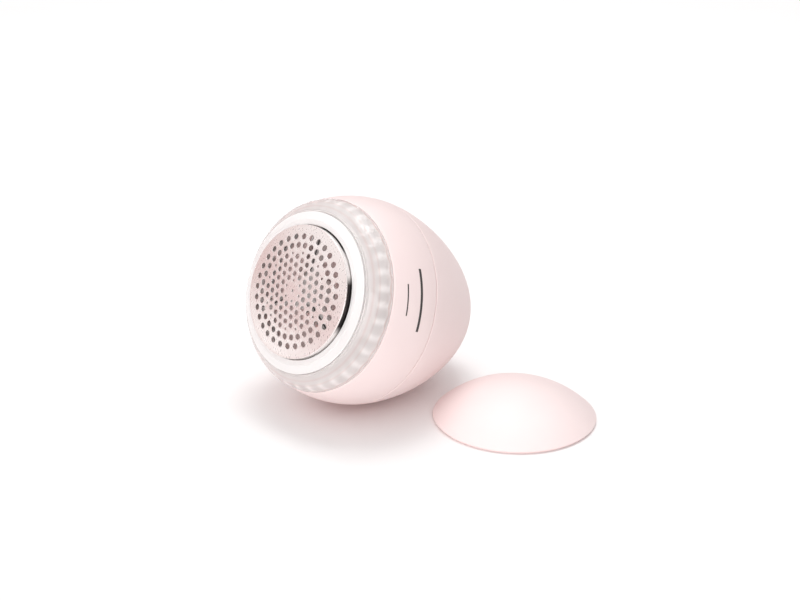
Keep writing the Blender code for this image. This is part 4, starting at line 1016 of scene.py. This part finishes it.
def table():
    """Flat square of near-white card, far larger than the view."""
    side = np.linspace(-4.0, 4.0, 3)
    x, y = np.meshgrid(side, side)
    below = -0.00002
    grid = np.stack([x, y, np.full_like(x, below)], axis=-1)
    index = np.arange(9).reshape(3, 3)
    faces = np.stack([index[:-1, :-1], index[:-1, 1:], index[1:, 1:], index[1:, :-1]], -1).reshape(-1, 4)
    material, nodes, link, shader = tree("white_card")
    where = nodes.new("ShaderNodeTexCoord")
    link(tinted(nodes, link, noise(nodes, link, where, 30.0), (0.98,) * 3, (0.99,) * 3),
         shader.inputs["Base Color"])
    shader.inputs["Roughness"].default_value = 0.8
    shader.inputs["Specular IOR Level"].default_value = 0.2
    mesh = bpy.data.meshes.new("table")
    mesh.from_pydata(grid.reshape(-1, 3).tolist(), [], faces.tolist())
    mesh.materials.append(material)
    board = bpy.data.objects.new("table", mesh)
    bpy.context.scene.collection.objects.link(board)
    board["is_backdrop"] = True


def lamp(name, place, target, width, height, power):
    """Soft rectangular lamp that faces a point."""
    light = bpy.data.lights.new(name, "AREA")
    light.shape = "RECTANGLE"
    light.size = width
    light.size_y = height
    light.energy = power
    item = bpy.data.objects.new(name, light)
    item.location = place
    item.rotation_euler = (Vector(target) - Vector(place)).to_track_quat("-Z", "Y").to_euler()
    bpy.context.scene.collection.objects.link(item)
    return item


def only_shaver(light):
    """Keeps a lamp's light off the table, so that the fill in front doesn't wash out the shaver's shadow."""
    lit = bpy.data.collections.new("lit_by_" + light.name)
    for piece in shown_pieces():
        lit.objects.link(piece)
    light.light_linking.receiver_collection = lit


def room(horizon, zenith, lean):
    """Surroundings whose radiance is horizon + (zenith - horizon) * z - lean * x in the direction (x, y, z).

    They are warm at the horizon and white overhead."""
    world = bpy.data.worlds.new("room")
    world.use_nodes = True
    nodes = world.node_tree.nodes
    link = world.node_tree.links.new
    where = nodes.new("ShaderNodeTexCoord")
    weigh = nodes.new("ShaderNodeVectorMath")
    weigh.operation = "DOT_PRODUCT"
    weigh.inputs[1].default_value = (-lean, 0.0, zenith - horizon)
    link(where.outputs["Generated"], weigh.inputs[0])
    total = nodes.new("ShaderNodeMath")
    total.inputs[1].default_value = horizon
    link(weigh.outputs["Value"], total.inputs[0])
    link(total.outputs["Value"], nodes["Background"].inputs["Strength"])
    height = nodes.new("ShaderNodeSeparateXYZ")
    link(where.outputs["Generated"], height.inputs["Vector"])
    warmth = nodes.new("ShaderNodeValToRGB")
    warmth.color_ramp.elements[0].position = 0.05
    warmth.color_ramp.elements[0].color = (1.0, 0.36, 0.33, 1.0)
    warmth.color_ramp.elements[1].position = 0.4
    warmth.color_ramp.elements[1].color = (1.0, 1.0, 1.0, 1.0)
    link(height.outputs["Z"], warmth.inputs["Fac"])
    link(warmth.outputs["Color"], nodes["Background"].inputs["Color"])
    bpy.context.scene.world = world


table()
room(0.22, 1.15, 0.2)
lamp("overhead", (0.0, 0.2, 1.0), (0.0, 0.0, 0.02), 0.45, 0.45, 3.0)
only_shaver(lamp("fill", (-0.3, -1.08, 0.25), (0.0, 0.0, 0.03), 0.9, 0.9, 7.4))


def camera():
    """Long lens, looking down a little and level to within about half a degree."""
    tilt = math.radians(23.14)
    roll = math.radians(0.564)
    ahead = Vector((0.0, math.cos(tilt), -math.sin(tilt)))
    level = Vector((1.0, 0.0, 0.0))
    upright = Vector((0.0, math.sin(tilt), math.cos(tilt)))
    right = math.cos(roll) * level + math.sin(roll) * upright
    top = -math.sin(roll) * level + math.cos(roll) * upright
    distance = 0.63293
    aim = Vector(CENTRE) + Vector((0.01603, 0.00003, 0.00025))
    data = bpy.data.cameras.new("camera")
    data.lens = 85.0
    data.sensor_width = 36.0
    item = bpy.data.objects.new("camera", data)
    turn = Matrix((right, top, -ahead)).transposed().to_4x4()
    item.matrix_world = Matrix.Translation(aim - distance * ahead) @ turn
    bpy.context.scene.collection.objects.link(item)
    bpy.context.scene.camera = item


camera()
bpy.context.scene.view_settings.view_transform = "Standard"
bounces = bpy.context.scene.cycles
bounces.max_bounces = 24
bounces.diffuse_bounces = 8
bounces.transmission_bounces = 24
bounces.transparent_max_bounces = 32
